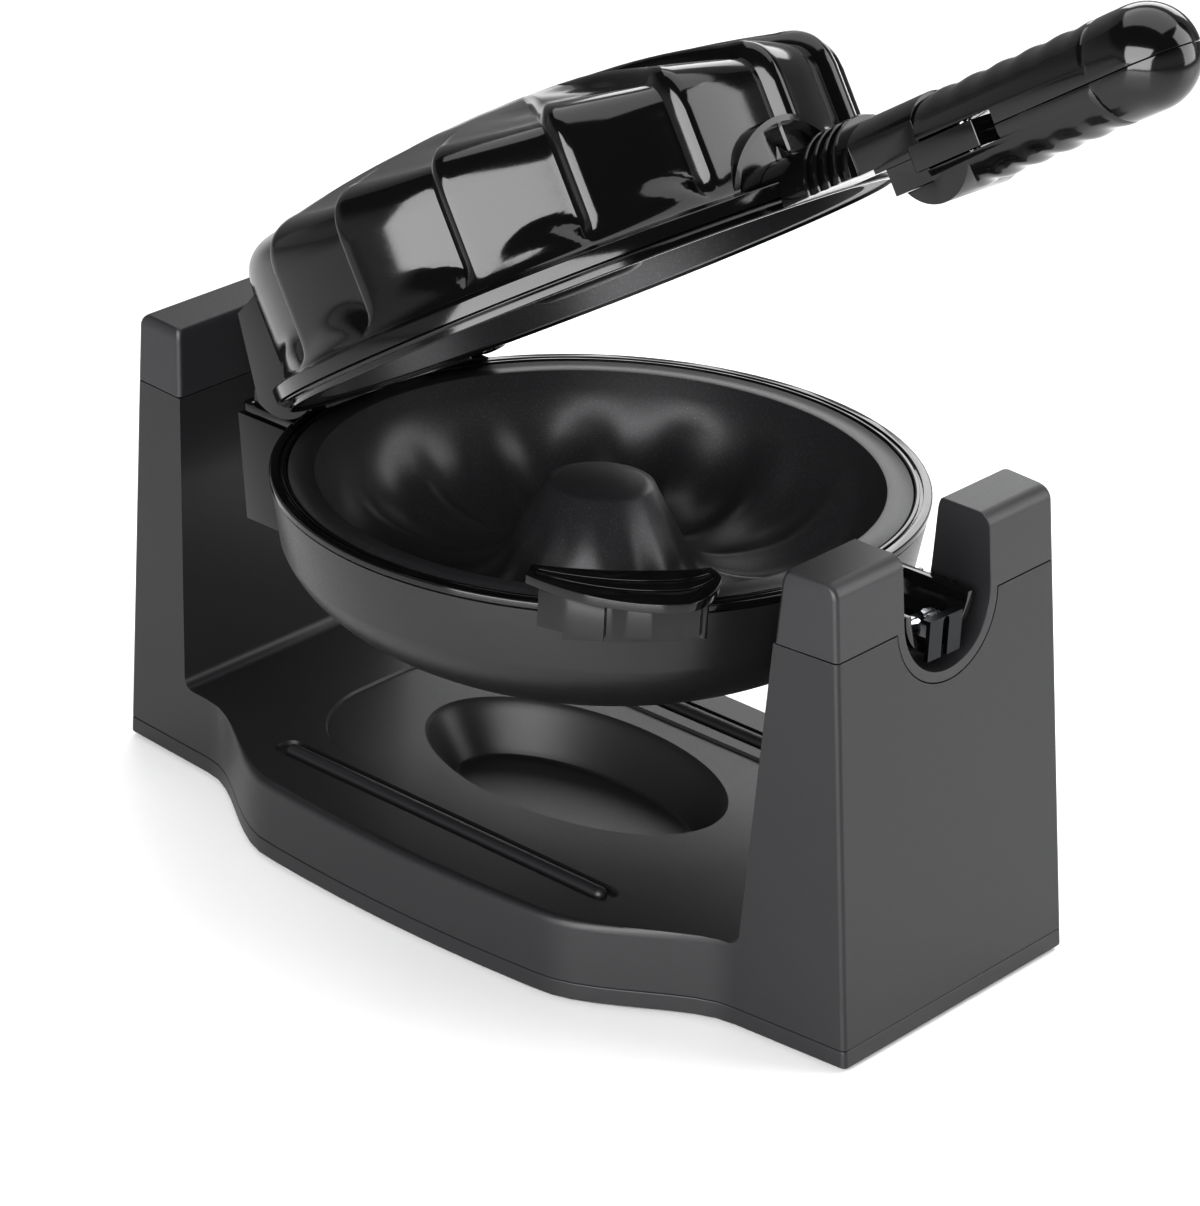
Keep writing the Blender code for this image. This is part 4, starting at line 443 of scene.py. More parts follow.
# Tower caps. Separate mouldings clipped on the towers at a fine parting line, a shade lighter than
# the stand; the right one carries the U-shaped cradle, whose liner reaches down into the tower.
def tower_form(side, inset, low, high, fillet=0, edge=0):
    """One tower between two heights, with a round outer top edge."""
    turns = [math.radians(15 * i) for i in range(7)] if fillet else [0]
    levels = [(low, 0, 0)]
    levels += [(high - fillet * (1 - math.sin(a)), fillet * (1 - math.cos(a)), edge * (1 - math.cos(a)))
               for a in turns]
    corner = max(corner_radius - inset, gap)
    rings = []
    for z, outer_in, other_in in levels:
        outer, inner = tower_x(side, z)
        outer -= side * (inset + outer_in)
        inner += side * (inset + other_in)
        ring = []
        for x, facing in ((outer, side), (inner, -side)):
            deep = half_depth(x, z) - inset - other_in
            for y_side in (-facing, facing):
                ring += round_corner(x, deep, facing, y_side, corner)
        rings.append((z, ring))
    return loft(rings)


cap_abs = textured_abs("spark_eroded_black_abs_caps", ("252527", "2a2a2c"), 0.40)
left_cap = as_object("left_cap", tower_form(-1, 0, cap_parting + gap, stand_height, 0.0045, 0.0014))
cut(left_cap, "hollow", tower_form(-1, wall, cap_parting - 0.01, stand_height - wall))
cut(left_cap, "bush seat", disc(0.0093, -0.150, -0.12, 48, "X", (0, 0, axis_height)))
dress(soften(left_cap, 0.0006), cap_abs, "stand", "left_tower_cap", flat=True)

right_cap = as_object("right_cap", tower_form(1, 0, 0.105, stand_height, 0.0045, 0.0014))
below = as_object("below", box((0.1, -0.08, 0.09), (0.18, 0.08, cap_parting + gap)))
hollow = as_object("hollow", tower_form(1, wall, cap_parting - 0.01, stand_height - wall))
for room in (below, hollow):
    cut(room, "liner", prism(cradle(0.0245, stand_height + 0.01), "YZ", 0, 0.2))
    combine(right_cap, room)
cut(right_cap, "notch", prism(cradle(0.021, stand_height + 0.01), "YZ", 0, 0.2))
dress(soften(right_cap, 0.0006), cap_abs, "stand", "right_tower_cap", flat=True)

# Bottom plate. A shallow black ABS tray that closes the stand from below and shows as a thin band
# under the parting line; rubber feet are pressed into it and four screws hold it.
plate = as_object("base_plate", loft([(z, stand_plan(z)) for z in (0, plate_parting)]))
cut(plate, "hollow", loft([(z, stand_plan(z, wall)) for z in (0.0025, 0.02)]))
foot_corner, screw_corner = (0.143, 0.040), (0.100, 0.046)
for (x, y), name, radius, depth, steps in (
    (foot_corner, "foot seat", 0.0078, 0.001, 40),
    (screw_corner, "screw seat", 0.0035, 0.0018, 24),
):
    for place in ((-x, -y), (-x, y), (x, -y), (x, y)):
        cut(plate, name, disc(radius, -0.01, depth, steps, centre=(*place, 0)))
dress(soften(plate, 0.0005), stand_abs, "stand", "bottom_plate", flat=True)


# Feet and base screws. Four soft rubber pads pressed into the bottom plate, and four zinc-plated
# slotted screws in its sunk holes; one pattern sets each kind at the corners of a rectangle.
def new_tree(name, sizes):
    """A geometry tree with a named input for each size, and the outputs of its input node."""
    tree = bpy.data.node_groups.new(name, "GeometryNodeTree")
    tree.interface.new_socket("Geometry", in_out="INPUT", socket_type="NodeSocketGeometry")
    for label, size in sizes.items():
        kind = "NodeSocketInt" if isinstance(size, int) else "NodeSocketFloat"
        tree.interface.new_socket(label, in_out="INPUT", socket_type=kind)
    tree.interface.new_socket("Geometry", in_out="OUTPUT", socket_type="NodeSocketGeometry")
    return tree, tree.nodes.new("NodeGroupInput").outputs


def finish_tree(tree, geometry, material):
    """Closes a tree with realised instances in one material."""
    real = add_node(tree, "GeometryNodeRealizeInstances", {"Geometry": geometry})
    coated = add_node(tree, "GeometryNodeSetMaterial", {"Geometry": real, "Material": material})
    add_node(tree, "NodeGroupOutput", {"Geometry": coated})


def grow(piece, tree, sizes):
    """Runs a tree on a piece with these sizes, and keeps the mesh that it makes."""
    modifier = piece.modifiers.new(tree.name, "NODES")
    modifier.node_group = tree
    for item in tree.interface.items_tree:
        if item.item_type == "SOCKET" and item.in_out == "INPUT" and item.name in sizes:
            modifier[item.identifier] = sizes[item.name]
    return settle(piece)


def corner_pattern(name, seed, corner, height, material):
    """Copies of a seed at the corners of a rectangle round the origin, as one piece."""
    sizes = {"Length": 2 * corner[0], "Width": 2 * corner[1]}
    tree, given = new_tree(name, sizes)
    grid = add_node(tree, "GeometryNodeMeshGrid", {
        "Size X": given["Length"], "Size Y": given["Width"], "Vertices X": 2, "Vertices Y": 2})
    raised = add_node(tree, "GeometryNodeTransform", {"Geometry": grid, "Translation": (0, 0, height)})
    copies = add_node(tree, "GeometryNodeInstanceOnPoints", {"Points": raised, "Instance": given["Geometry"]})
    finish_tree(tree, copies, material)
    return grow(seed, tree, sizes)


def moulded_rubber():
    """Moulded black rubber: dull and slightly dusty, with a blotchy grey bloom."""
    material, tree, place = new_material("moulded_black_rubber")
    bloom = add_node(tree, "ShaderNodeTexNoise", {"Vector": place, "Scale": 260.0, "Detail": 4.0})
    tone = add_node(tree, "ShaderNodeMix", {
        "Factor": bloom, "A": linear("141414"), "B": linear("262625")}, data_type="RGBA")
    return finish_material(material, {"Base Color": tone, "Roughness": 0.82, "IOR": 1.52})


def metal(name, colours, roughness, stretch, bump):
    """Bare metal whose fine drawing or turning marks run across the stretched axis."""
    material, tree, place = new_material(name)
    drawn = add_node(tree, "ShaderNodeMapping", {"Vector": place, "Scale": stretch})
    marks = add_node(tree, "ShaderNodeTexNoise", {"Vector": drawn, "Scale": 900.0, "Detail": 3.0})
    tone = add_node(tree, "ShaderNodeMix", {
        "Factor": marks, "A": linear(colours[0]), "B": linear(colours[1])}, data_type="RGBA")
    dullness = add_node(tree, "ShaderNodeMapRange", {
        "Value": marks, "To Min": roughness - 0.08, "To Max": roughness + 0.1})
    bumped = add_node(tree, "ShaderNodeBump", {"Strength": bump, "Distance": 0.00002, "Height": marks})
    return finish_material(material, {
        "Base Color": tone, "Roughness": dullness, "Metallic": 1.0, "Normal": bumped})


rubber = moulded_rubber()
zinc = metal("zinc_plated_turned_steel", ("a9abae", "c6c8ca"), 0.28, (1, 1, 6), 0.15)
foot = [(0, -0.0015), (0.0062, -0.0015)] + arc((0.0062, -0.0005), 0.001, -90, -20, 4)
foot += [(0.0075, 0), (0.0075, 0.0007), (0, 0.0007)]
feet = as_object("rubber_feet", turned(foot, 48))
corner_pattern("corner feet", feet, foot_corner, 0, rubber)
dress(feet, rubber, "stand", "foot_left_front", "foot_left_rear", "foot_right_front", "foot_right_rear")

screw = [(0, 0)] + arc((0.0024, 0.0008), 0.0008, -90, 0, 4)
screw += [(0.0032, 0.002), (0.0016, 0.002), (0.0016, 0.012), (0, 0.012)]
screws = as_object("base_screws", turned(screw, 32))
cut(screws, "slot", box((-0.0005, -0.004, -0.001), (0.0005, 0.004, 0.0009)))
corner_pattern("corner screws", screws, screw_corner, 0.0006, zinc)
dress(screws, zinc, "stand", "base_screw_left_front", "base_screw_left_rear", "base_screw_right_front",
      "base_screw_right_rear")


# Axle bush and gland. A black acetal bush clamped between the left tower and its cap, with a flange
# on each side of the wall, and a soft rubber sleeve where the supply lead enters behind.
def moulded_black(name, colours, roughness, ripple, haze=0.0):
    """Polished black moulding: mirror-like, with the faint waviness of a polished tool.

    The waves are a few centimetres long and some microns high, so that edges of reflections swim.
    """
    material, tree, place = new_material(name)
    waves = add_node(tree, "ShaderNodeTexNoise", {"Vector": place, "Scale": 28.0, "Detail": 1.0})
    dust = add_node(tree, "ShaderNodeTexNoise", {"Vector": place, "Scale": 1500.0, "Detail": 2.0})
    tone = add_node(tree, "ShaderNodeMix", {
        "Factor": waves, "A": linear(colours[0]), "B": linear(colours[1])}, data_type="RGBA")
    dullness = add_node(tree, "ShaderNodeMapRange", {
        "Value": dust, "From Min": 0.35, "From Max": 0.75,
        "To Min": roughness, "To Max": roughness + 0.06 + haze})
    bumped = add_node(tree, "ShaderNodeBump", {"Strength": ripple, "Distance": 0.00008, "Height": waves})
    return finish_material(material, {
        "Base Color": tone, "Roughness": dullness, "Normal": bumped, "IOR": 1.54})


acetal = moulded_black("turned_black_acetal", ("1b1b1c", "202021"), 0.34, 0.05)
inner = tower_x(-1, axis_height)[1]
near, far = inner + gap, inner - wall - gap
flange = 0.0018
bush = [(0.0063, near + flange), (0.0119, near + flange), (0.0125, near + 0.0012), (0.0125, near),
        (0.009, near), (0.009, far), (0.0125, far), (0.0125, far - flange), (0.0063, far - flange)]
dress(as_object("bush", turned(bush, 64, "X", (0, 0, axis_height))), acetal, "stand", "axle_bush")
face = half_depth(-0.147, 0.026)
outside, inside = face + 0.00075, face - wall - 0.00075
gland = [(0.0032, outside + 0.0024), (0.0060, outside + 0.0024), (0.0066, outside + 0.0020),
         (0.0080, outside), (0.0052, outside), (0.0052, inside), (0.0072, inside),
         (0.0052, inside - 0.0040), (0.0032, inside - 0.0040)]
dress(as_object("gland", turned(gland, 48, "Y", (-0.147, 0, 0.026))), rubber, "stand", "cord_gland")

# Axle. A hollow turned steel tube in the boss of the hinge block, kept by a ring inside the tower;
# the lead to the heaters runs through it.
head_x, hinge = 0.0084, Vector((-0.0945, 0, 0.018))
head = (head_x, 0, 0)
places["lower_half"] = Matrix.Translation((0, 0, axis_height)) @ Matrix.Rotation(math.radians(-2.5), 4, "X")
places["lid"] = (places["lower_half"] @ Matrix.Translation(hinge)
                 @ Matrix.Rotation(math.radians(-32.5), 4, "Y") @ Matrix.Translation(-hinge))
places["grip"] = places["lid"]
turned_steel = metal("turned_steel", ("b4b3b1", "cfcecb"), 0.22, (8, 1, 1), 0.2)
tube = [(0.0035, -0.1140), (0.0054, -0.1140), (0.006, -0.1146), (0.006, -0.1504), (0.0054, -0.151),
        (0.0035, -0.151)]
dress(as_object("axle", turned(tube, 64, "X")), turned_steel, "lower_half", "flip_axle")
start = far - flange - 0.0003
ring = [(0.0063, start), (0.0095, start), (0.0095, start - 0.002), (0.0063, start - 0.002)]
dress(as_object("ring", turned(ring, 48, "X")), turned_steel, "lower_half", "axle_ring")


# Bowl. A deep-drawn steel shell in satin black enamel, with a flat floor, a full round swell and a
# nearly upright wall up to the ring.
def bowl_profile(outwards, steps):
    """Line of the bowl from its flat floor to its rim, moved outwards."""
    floor = (0.062, -0.055 - outwards)
    curve = bezier(floor, (0.097 + outwards, -0.043 - outwards), (0.1044 + outwards, -0.024), steps)
    return [floor] + curve + [(0.1078 + outwards, -0.004)]


enamel = moulded_black("satin_black_enamel", ("1a1a1b", "202021"), 0.32, 0.06, 0.04)
profile = [(0, -0.055)] + bowl_profile(0, 24) + bowl_profile(-0.0022, 12)[::-1] + [(0, -0.0528)]
dress(as_object("bowl", turned(profile, 144, centre=head)), enamel, "lower_half", "lower_shell")

# Ring of the bowl. Glossy black moulding with a groove for the lid's lip, and a flat tab on the
# left through which the ears of the hinge rise.
gloss = moulded_black("polished_black_abs", ("0a0a0b", "0e0e0f"), 0.085, 0.03)
low, top, groove = -0.0037, -0.0010, 0.0011
ring = [(0.1027, low), (0.1077, low), (0.1083, low + 0.0006)] + arc((0.1077, top - 0.0006), 0.0006, 0, 90, 4)
ring += [(0.10535, top), (0.10525, top - 0.0001), (0.10525, top - groove), (0.10415, top - groove),
         (0.10415, top - 0.0001), (0.10405, top), (0.1031, top), (0.1027, top - 0.0004)]
lower_ring = as_object("bowl_ring", turned(ring, 144, centre=head))
tab = rounded_box((-0.1135, -0.0465), (-0.079, 0.0465), 0.003, 6)
tab = as_object("tab", prism(tab, "XY", -0.0034, -0.0004))
cut(tab, "inside", disc(0.1068, -0.1, 0.1, 144, centre=head))
combine(lower_ring, tab, "UNION")
for side in (-1, 1):
    near, far = sorted((side * 0.0347, side * 0.0443))
    cut(lower_ring, "slot", box((-0.1098, near, -0.008), (-0.0982, far, 0.004)))
dress(soften(lower_ring, 0.0003, 2), gloss, "lower_half", "lower_bezel")

# Baking plates. Cast aluminium ring moulds in a dark non-stick coating: sixteen flutes that fade
# out at the mouth and on the hollow core, and a flat rim that shows inside the ring.
around, along, flute_depth = 192, 4, 0.004


def plate_rings(offset):
    """Rings of the cake side, moved into the wall by offset."""
    mouth, belly, foot, top = (0.0935, -0.0016), (0.056, -0.041), (0.029, -0.0254), (0.018, -0.0045)
    section = [mouth] + bezier(mouth, (0.0921, -0.0402), belly, 3 * along)
    section += bezier(belly, (0.0325, -0.041), foot, 2 * along) + [top]
    rings = []
    for index, (radius, height) in enumerate(section):
        before, after = section[max(index - 1, 0)], section[min(index + 1, len(section) - 1)]
        run = Vector((after[0] - before[0], after[1] - before[1])).normalized()
        out = Vector((-run.y, run.x)) if index else Vector((1, 0))
        fade = math.sin(math.pi * min(max((index / along - 0.5) / 4.5, 0), 1)) ** 0.7
        ring = []
        for k in range(around):
            angle = math.tau * k / around
            moved = offset - flute_depth * fade * abs(math.cos(8 * angle)) ** 3
            ring.append((radius + moved * out.x, angle, height + moved * out.y))
        rings.append(ring)
    return rings


def baking_plate(mirror):
    """Both sides of a plate joined over its rim and its core; mirror -1 is the upper one."""
    def flat(*line):
        return [[(radius, math.tau * k / around, height) for k in range(around)] for radius, height in line]

    rings = flat((0.0144, -0.0036)) + plate_rings(0)[::-1]
    rings += flat((0.0942, -0.0014), (0.1019, -0.0014), (0.1023, -0.0018), (0.1023, -0.0034),
                  (0.0953, -0.0034))
    rings += plate_rings(0.0018)[1:] + flat((0.0144, -0.0063))
    return skin([[(head_x + r * math.cos(a), r * math.sin(a), mirror * z) for r, a, z in ring]
                 for ring in rings])


def nonstick_coating():
    """Sprayed non-stick coating on cast aluminium: dark grey, half dull, with a fine pebbled skin."""
    material, tree, place = new_material("sprayed_nonstick_on_cast_aluminium")
    pebble = add_node(tree, "ShaderNodeTexVoronoi", {"Vector": place, "Scale": 1400.0}, feature="SMOOTH_F1")
    fleck = add_node(tree, "ShaderNodeTexNoise", {"Vector": place, "Scale": 2600.0, "Detail": 1.0})
    bright = add_node(tree, "ShaderNodeMapRange", {"Value": fleck, "From Min": 0.62, "From Max": 0.72})
    tone = add_node(tree, "ShaderNodeMix", {
        "Factor": bright, "A": linear("2e2e30"), "B": linear("4c4c4f")}, data_type="RGBA")
    bumped = add_node(tree, "ShaderNodeBump", {"Strength": 0.25, "Distance": 0.00003, "Height": pebble})
    return finish_material(material, {
        "Base Color": tone, "Roughness": 0.36, "Metallic": 0.25, "Normal": bumped})


nonstick = nonstick_coating()
dress(as_object("lower_baking_plate", baking_plate(1)), nonstick, "lower_half", "lower_plate", crease=50)
dress(as_object("upper_baking_plate", baking_plate(-1)), nonstick, "lid", "upper_plate", crease=50)


# Heaters and thermostats. Tubular steel elements bent to an open ring behind each plate, browned by
# heat, and a phenolic disc thermostat inside each core.
def bent_tube(mirror):
    """Tube along an open ring with rounded ends."""
    bends, sides = 96, 20
    rings = []
    for i in range(bends + 1):
        angle = 0.21 + (math.tau - 0.42) * i / bends
        centre = Vector((head_x + 0.056 * math.cos(angle), 0.056 * math.sin(angle), -mirror * 0.0457))
        outward = Vector((math.cos(angle), math.sin(angle), 0))
        radius = 0.0029 if 0 < i < bends else 0.0022
        turns = [math.tau * k / sides for k in range(sides)]
        rings.append([centre + radius * (math.cos(a) * outward + math.sin(a) * Vector((0, 0, 1)))
                      for a in turns])
    return skin(rings)


browned = metal("heat_browned_steel_sheath", ("5c5049", "7d746c"), 0.42, (1, 1, 1), 0.3)
phenolic = moulded_black("moulded_brown_phenolic", ("3a2a1f", "453226"), 0.45, 0.1)
thermostat = [(0, -0.0196), (0.0028, -0.0196), (0.0028, -0.0156), (0.0085, -0.0156), (0.0085, -0.0111),
              (0.0080, -0.0106), (0.0072, -0.0066), (0, -0.0066)]
for body, mirror, level in (("lower_half", 1, "lower"), ("lid", -1, "upper")):
    dress(as_object(level + "_element", bent_tube(mirror)), browned, body, level + "_heater")
    turned_disc = turned([(r, mirror * h) for r, h in thermostat], 48, centre=head)
    dress(as_object(level + "_disc", turned_disc), phenolic, body, level + "_thermostat")


# Hinge blocks. Glossy black mouldings on the left of both halves: the lower one carries two ears and
# the boss of the axle, the upper one drops over the ears and rolls round the pins as the lid opens.
def clear_bowl(piece, rim):
    """Cuts the bowl's room, up to a line above its wall, out of a piece that fits round it."""
    room = [(0, -0.0553)] + bowl_profile(0.0003, 24) + rim + [(0, 0.004)]
    cut(piece, "bowl clearance", turned(room, 144, centre=head))


block = [(-0.1086, -0.041), (-0.0536, -0.041), (-0.0536, -0.004), (-0.1137, -0.004)]
block = as_object("lower_block", prism(block, "XZ", -0.0475, 0.0475))
upstand = [(-0.1175, -0.0205), (-0.1125, -0.0205), (-0.1125, -0.0043), (-0.1140, -0.0043),
           (-0.1140, 0.0078), (-0.1175, 0.0078)]
join(block, "upstand", prism(upstand, "XZ", -0.014, 0.014))
join(block, "boss", disc(0.0078, -0.126, -0.1156, 64, "X"))
ear = [(-0.1095, -0.008), (-0.0985, -0.008), (-0.0985, 0.0088)]
ear += arc((hinge.x, hinge.z), 0.0055, -35, 155, 24) + [(-0.1095, 0.0042)]
for side in (-1, 1):
    near, far = sorted((side * 0.035, side * 0.044))
    join(block, "ear", prism(ear, "XZ", near, far))
clear_bowl(block, [(0.1081, 0.004)])
cut(block, "axle seat", disc(0.0063, -0.13, -0.114, 48, "X"))
cut(block, "bore", disc(0.0028, -0.05, 0.05, 32, "Y", hinge))
dress(soften(block, 0.0006), gloss, "lower_half", "lower_hinge_block")
for side, name in ((-1, "front"), (1, "rear")):
    near, far = sorted((side * 0.031, side * 0.04625))
    pin = [(0, near), (0.0022, near), (0.0025, near + 0.0003), (0.0025, far - 0.0003), (0.0022, far),
           (0, far)]
    pin = as_object("pin_" + name, turned(pin, 32, "Y", hinge))
    dress(pin, turned_steel, "lower_half", "hinge_pin_" + name)

cover = arc((hinge.x, hinge.z), 0.0182, 207, 300, 20)
cover += [(-0.0745, 0.008), (-0.0745, 0.0443), (-0.0899, 0.0438), (-0.1043, 0.0396)]
cover = as_object("upper_block", prism(cover, "XZ", -0.0475, 0.0475))
wall_top = (0.1015, 0.036)
dome_side = [(0.102, 0.0105), (0.102, 0.02325), wall_top]
dome_side += bezier(wall_top, (0.0992, 0.0505), (0.0797, 0.0567), 16)
room = [(0, -0.004), (0.1083, -0.004), (0.1083, 0.0091)] + [(r + 0.0003, h + 0.0003) for r, h in dome_side]
cut(cover, "dome clearance", turned(room + [(0.05, 0.0657), (0, 0.0663)], 144, centre=head))
for side in (-1, 1):
    near, far = sorted((side * 0.0347, side * 0.0443))
    cut(cover, "ear pocket", box((-0.135, near, -0.004), (-0.087, far, 0.0295)))
cut(cover, "bore", disc(0.0028, -0.0466, 0.0466, 32, "Y", hinge))
dress(soften(cover, 0.0012), gloss, "lid", "upper_hinge_block")


# Lower journal and bracket. A half-round glossy arm with fins that lies in the cradle, and on its
# end a slotted plate of blued steel that the lid's keel drops against.
def half_round(radius, low, high, up, floor):
    """Half cylinder along X, above or below a level floor."""
    start = math.degrees(math.asin(floor / radius))
    ends = (180 - start, start) if up > 0 else (start, -180 - start)
    return prism(arc((0, 0), radius, *ends, 32), "YZ", low, high)


def fin_row(name, up, low):
    """Row of half round fins along X, grown from the first one; each has rounded rims."""
    fin = [(0.0150, 0.1277), (0.0181, 0.1277), (0.0185, 0.1281), (0.0185, 0.1289), (0.0181, 0.1293),
           (0.0150, 0.1293)]
    fin = as_object("fin", turned(fin, 96, "X"))
    bottom, top = (low, 0.03) if up < 0 else (-0.03, low)
    cut(fin, "other half", box((0.12, -0.03, bottom), (0.14, 0.03, top)))
    sizes = {"Count": 4, "Pitch": 0.0045}
    tree, given = new_tree(name, sizes)
    step = add_node(tree, "ShaderNodeCombineXYZ", {"X": given["Pitch"]})
    line = add_node(tree, "GeometryNodeMeshLine", {"Count": given["Count"], "Offset": step})
    copies = add_node(tree, "GeometryNodeInstanceOnPoints", {"Points": line, "Instance": given["Geometry"]})
    finish_tree(tree, copies, gloss)
    return grow(fin, tree, sizes)


journal = as_object("journal", half_round(0.0165, 0.1088, 0.1505, -1, -0.0006))
bore = as_object("bore", half_round(0.0140, 0.1253, 0.1545, -1, 0.004))
cut(bore, "pad", box((0.1375, -0.010, -0.0165), (0.1585, 0.010, -0.0110)))
combine(journal, bore)
clear_bowl(journal, [(0.1081, -0.00385), (0.1086, -0.004), (0.1086, 0.004)])
for y in (-0.005, 0.005):
    cut(journal, "screw hole", disc(0.0019, -0.015, 0.004, 24, centre=(0.1435, y, 0)))
dress(soften(journal, 0.0005), gloss, "lower_half", "lower_journal")
dress(fin_row("lower fins", -1, -0.0009), gloss, "lower_half")

# The bracket's bent and slotted strip and its two screws keep their CAD forms.
blued_strip = metal("blued_rolled_steel_strip", ("2a2b2d", "3a3b3d"), 0.34, (1, 10, 1), 0.2)
for node in ("rest_bracket", "bracket_screw_front", "bracket_screw_rear"):
    for held in bpy.data.objects[node].material_slots:
        held.link = "OBJECT"
        held.material = blued_strip if node == "rest_bracket" else zinc


# Thumb grip. Glossy black moulding clipped under the ring at the front right, with a stepped body
# and a wider cap; two shallow grooves follow the cap's bowed edge.
def thumb_reach(share):
    """How far the grip stands out along the ring: it widens to the right, then turns in."""
    if share < 0.72:
        return 0.32 + 0.68 * math.sin(share / 0.72 * math.pi / 2)
    return 1 - 0.70 * ((share - 0.72) / 0.28) ** 2


def thumb_point(share, reach):
    """Point at a share of the grip's length, a reach outside the ring."""
    angle, radius = math.radians(-58.8 + 29.6 * share), 0.1090 + reach
    return head_x + radius * math.cos(angle), radius * math.sin(angle)


def thumb_line(reach, trim=0):
    """Outer edge of the grip's cap, seen from above, shortened by trim at both ends."""
    shares = [trim + (1 - 2 * trim) * i / 140 for i in range(141)]
    return [thumb_point(share, reach * thumb_reach(share)) for share in shares]


def thumb_face():
    """Outer edge of the grip's body: a flat face, a step, a hollowed face and a rib at its end."""
    face = [(0.07, 0.0095), (0.40, 0.0178), (0.405, 0.0146)]
    steps = 40
    for i in range(steps + 1):
        swell = 0.0008 * math.sin(math.pi * i / steps)
        ripple = 0.0009 * (0.5 - 0.5 * math.cos(math.tau * 2 * i / steps))
        face.append((0.41 + 0.45 * i / steps, 0.0148 + swell - ripple))
    face += [(0.865, 0.0168), (0.895, 0.0162), (0.90, 0.0110)]
    return [thumb_point(share, reach) for share, reach in face]


grip_cap = as_object("thumb_cap", prism(thumb_line(0.0262) + thumb_line(0)[::-1], "XY", 0.0091, 0.012))
for reach in (0.0085, 0.0160):
    band = thumb_line(reach + 0.0007, 0.05) + thumb_line(reach - 0.0007, 0.05)[::-1]
    cut(grip_cap, "groove", prism(band, "XY", 0.0112, 0.013))
dress(soften(grip_cap, 0.0006), gloss, "lower_half", "front_grip_cap")
body_line = thumb_face() + thumb_line(0, 0.07)[::-1]
grip_body = as_object("thumb_body", prism(body_line, "XY", -0.0042, 0.0088))
hook = []
for radius, degrees in ((0.1149, (-53, -44, -35)), (0.1044, (-35, -44, -53))):
    for angle in map(math.radians, degrees):
        hook.append((head_x + radius * math.cos(angle), radius * math.sin(angle)))
hook = as_object("hook", prism(hook, "XY", -0.0095, -0.0015))
clear_bowl(hook, [(0.1086, -0.0037), (0.1086, 0.004)])
combine(grip_body, hook, "UNION")
dress(soften(grip_body, 0.0004, 2), gloss, "lower_half", "front_grip_body")


# Lid. Injection-moulded dome in polished black: sixteen saw-tooth lobes, each with a sharp crease
# and a full back, fading into a smooth foot band below and the middle of the crown above.
def lobe_tree(sizes, material):
    """Tree that presses the hollows between the lobes into a smooth dome, along its normals."""
    tree, given = new_tree("lid lobes", sizes)
    place = add_node(tree, "GeometryNodeInputPosition")
    split = add_node(tree, "ShaderNodeSeparateXYZ", {"Vector": place}).outputs
    value = {socket.name: socket for socket in (*given, *split)}
    for name, operation, *terms in (
        ("across", "SUBTRACT", "X", "Axis X"),
        ("across squared", "MULTIPLY", "across", "across"),
        ("deep squared", "MULTIPLY", "Y", "Y"),
        ("squares", "ADD", "across squared", "deep squared"),
        ("radius", "SQRT", "squares"),
        ("heading", "ARCTAN2", "Y", "across"),
        ("angle", "SUBTRACT", "heading", "First crease"),
        ("turns", "DIVIDE", "angle", math.tau),
        ("lobe", "MULTIPLY", "turns", "Lobes"),
        ("share", "FRACT", "lobe"),
        # A steep rise from the crease, and a long fall to the next one.
        ("rising", "DIVIDE", "share", "Rise"),
        ("risen", "MINIMUM", "rising", 1.0),
        ("rise angle", "MULTIPLY", "risen", math.pi / 2),
        ("rise", "SINE", "rise angle"),
        ("after rise", "SUBTRACT", "share", "Rise"),
        ("past", "MAXIMUM", "after rise", 0.0),
        ("rest", "SUBTRACT", 1.0, "Rise"),
        ("falling", "DIVIDE", "past", "rest"),
        ("left", "SUBTRACT", 1.0, "falling"),
        ("fall", "POWER", "left", 1.2),
        ("back", "MULTIPLY", "rise", "fall"),
        ("hollow", "SUBTRACT", 1.0, "back"),
        # The lower end of each hollow is scalloped, and its upper end lies on a circle.
        ("skewed", "POWER", "share", 1.6),
        ("hump angle", "MULTIPLY", "skewed", math.pi),
        ("hump shape", "SINE", "hump angle"),
        ("hump", "MULTIPLY", "Hump", "hump shape"),
        ("foot start", "ADD", "Foot", "hump"),
        ("foot end", "ADD", "foot start", "Foot run"),
        ("foot", "SMOOTHSTEP", "Z", "foot start", "foot end"),
        ("crown end", "ADD", "Crown radius", "Crown run"),
        ("crown", "SMOOTHSTEP", "radius", "Crown radius", "crown end"),
        ("full", "MULTIPLY", "Depth", "hollow"),
        ("fade", "MULTIPLY", "foot", "crown"),
        ("inward", "MULTIPLY", "full", "fade"),
        ("outward", "MULTIPLY", "inward", -1.0),
    ):
        terms = {index: value.get(term, term) for index, term in enumerate(terms)}
        if operation == "SMOOTHSTEP":
            value[name] = add_node(tree, "ShaderNodeMapRange", terms, interpolation_type=operation)
        else:
            value[name] = add_node(tree, "ShaderNodeMath", terms, operation=operation)
    offset = add_node(tree, "ShaderNodeVectorMath", {
        "Vector": add_node(tree, "GeometryNodeInputNormal"), "Scale": value["outward"]}, operation="SCALE")
    pressed = add_node(tree, "GeometryNodeSetPosition", {"Geometry": given["Geometry"], "Offset": offset})
    finish_tree(tree, pressed, material)
    return tree


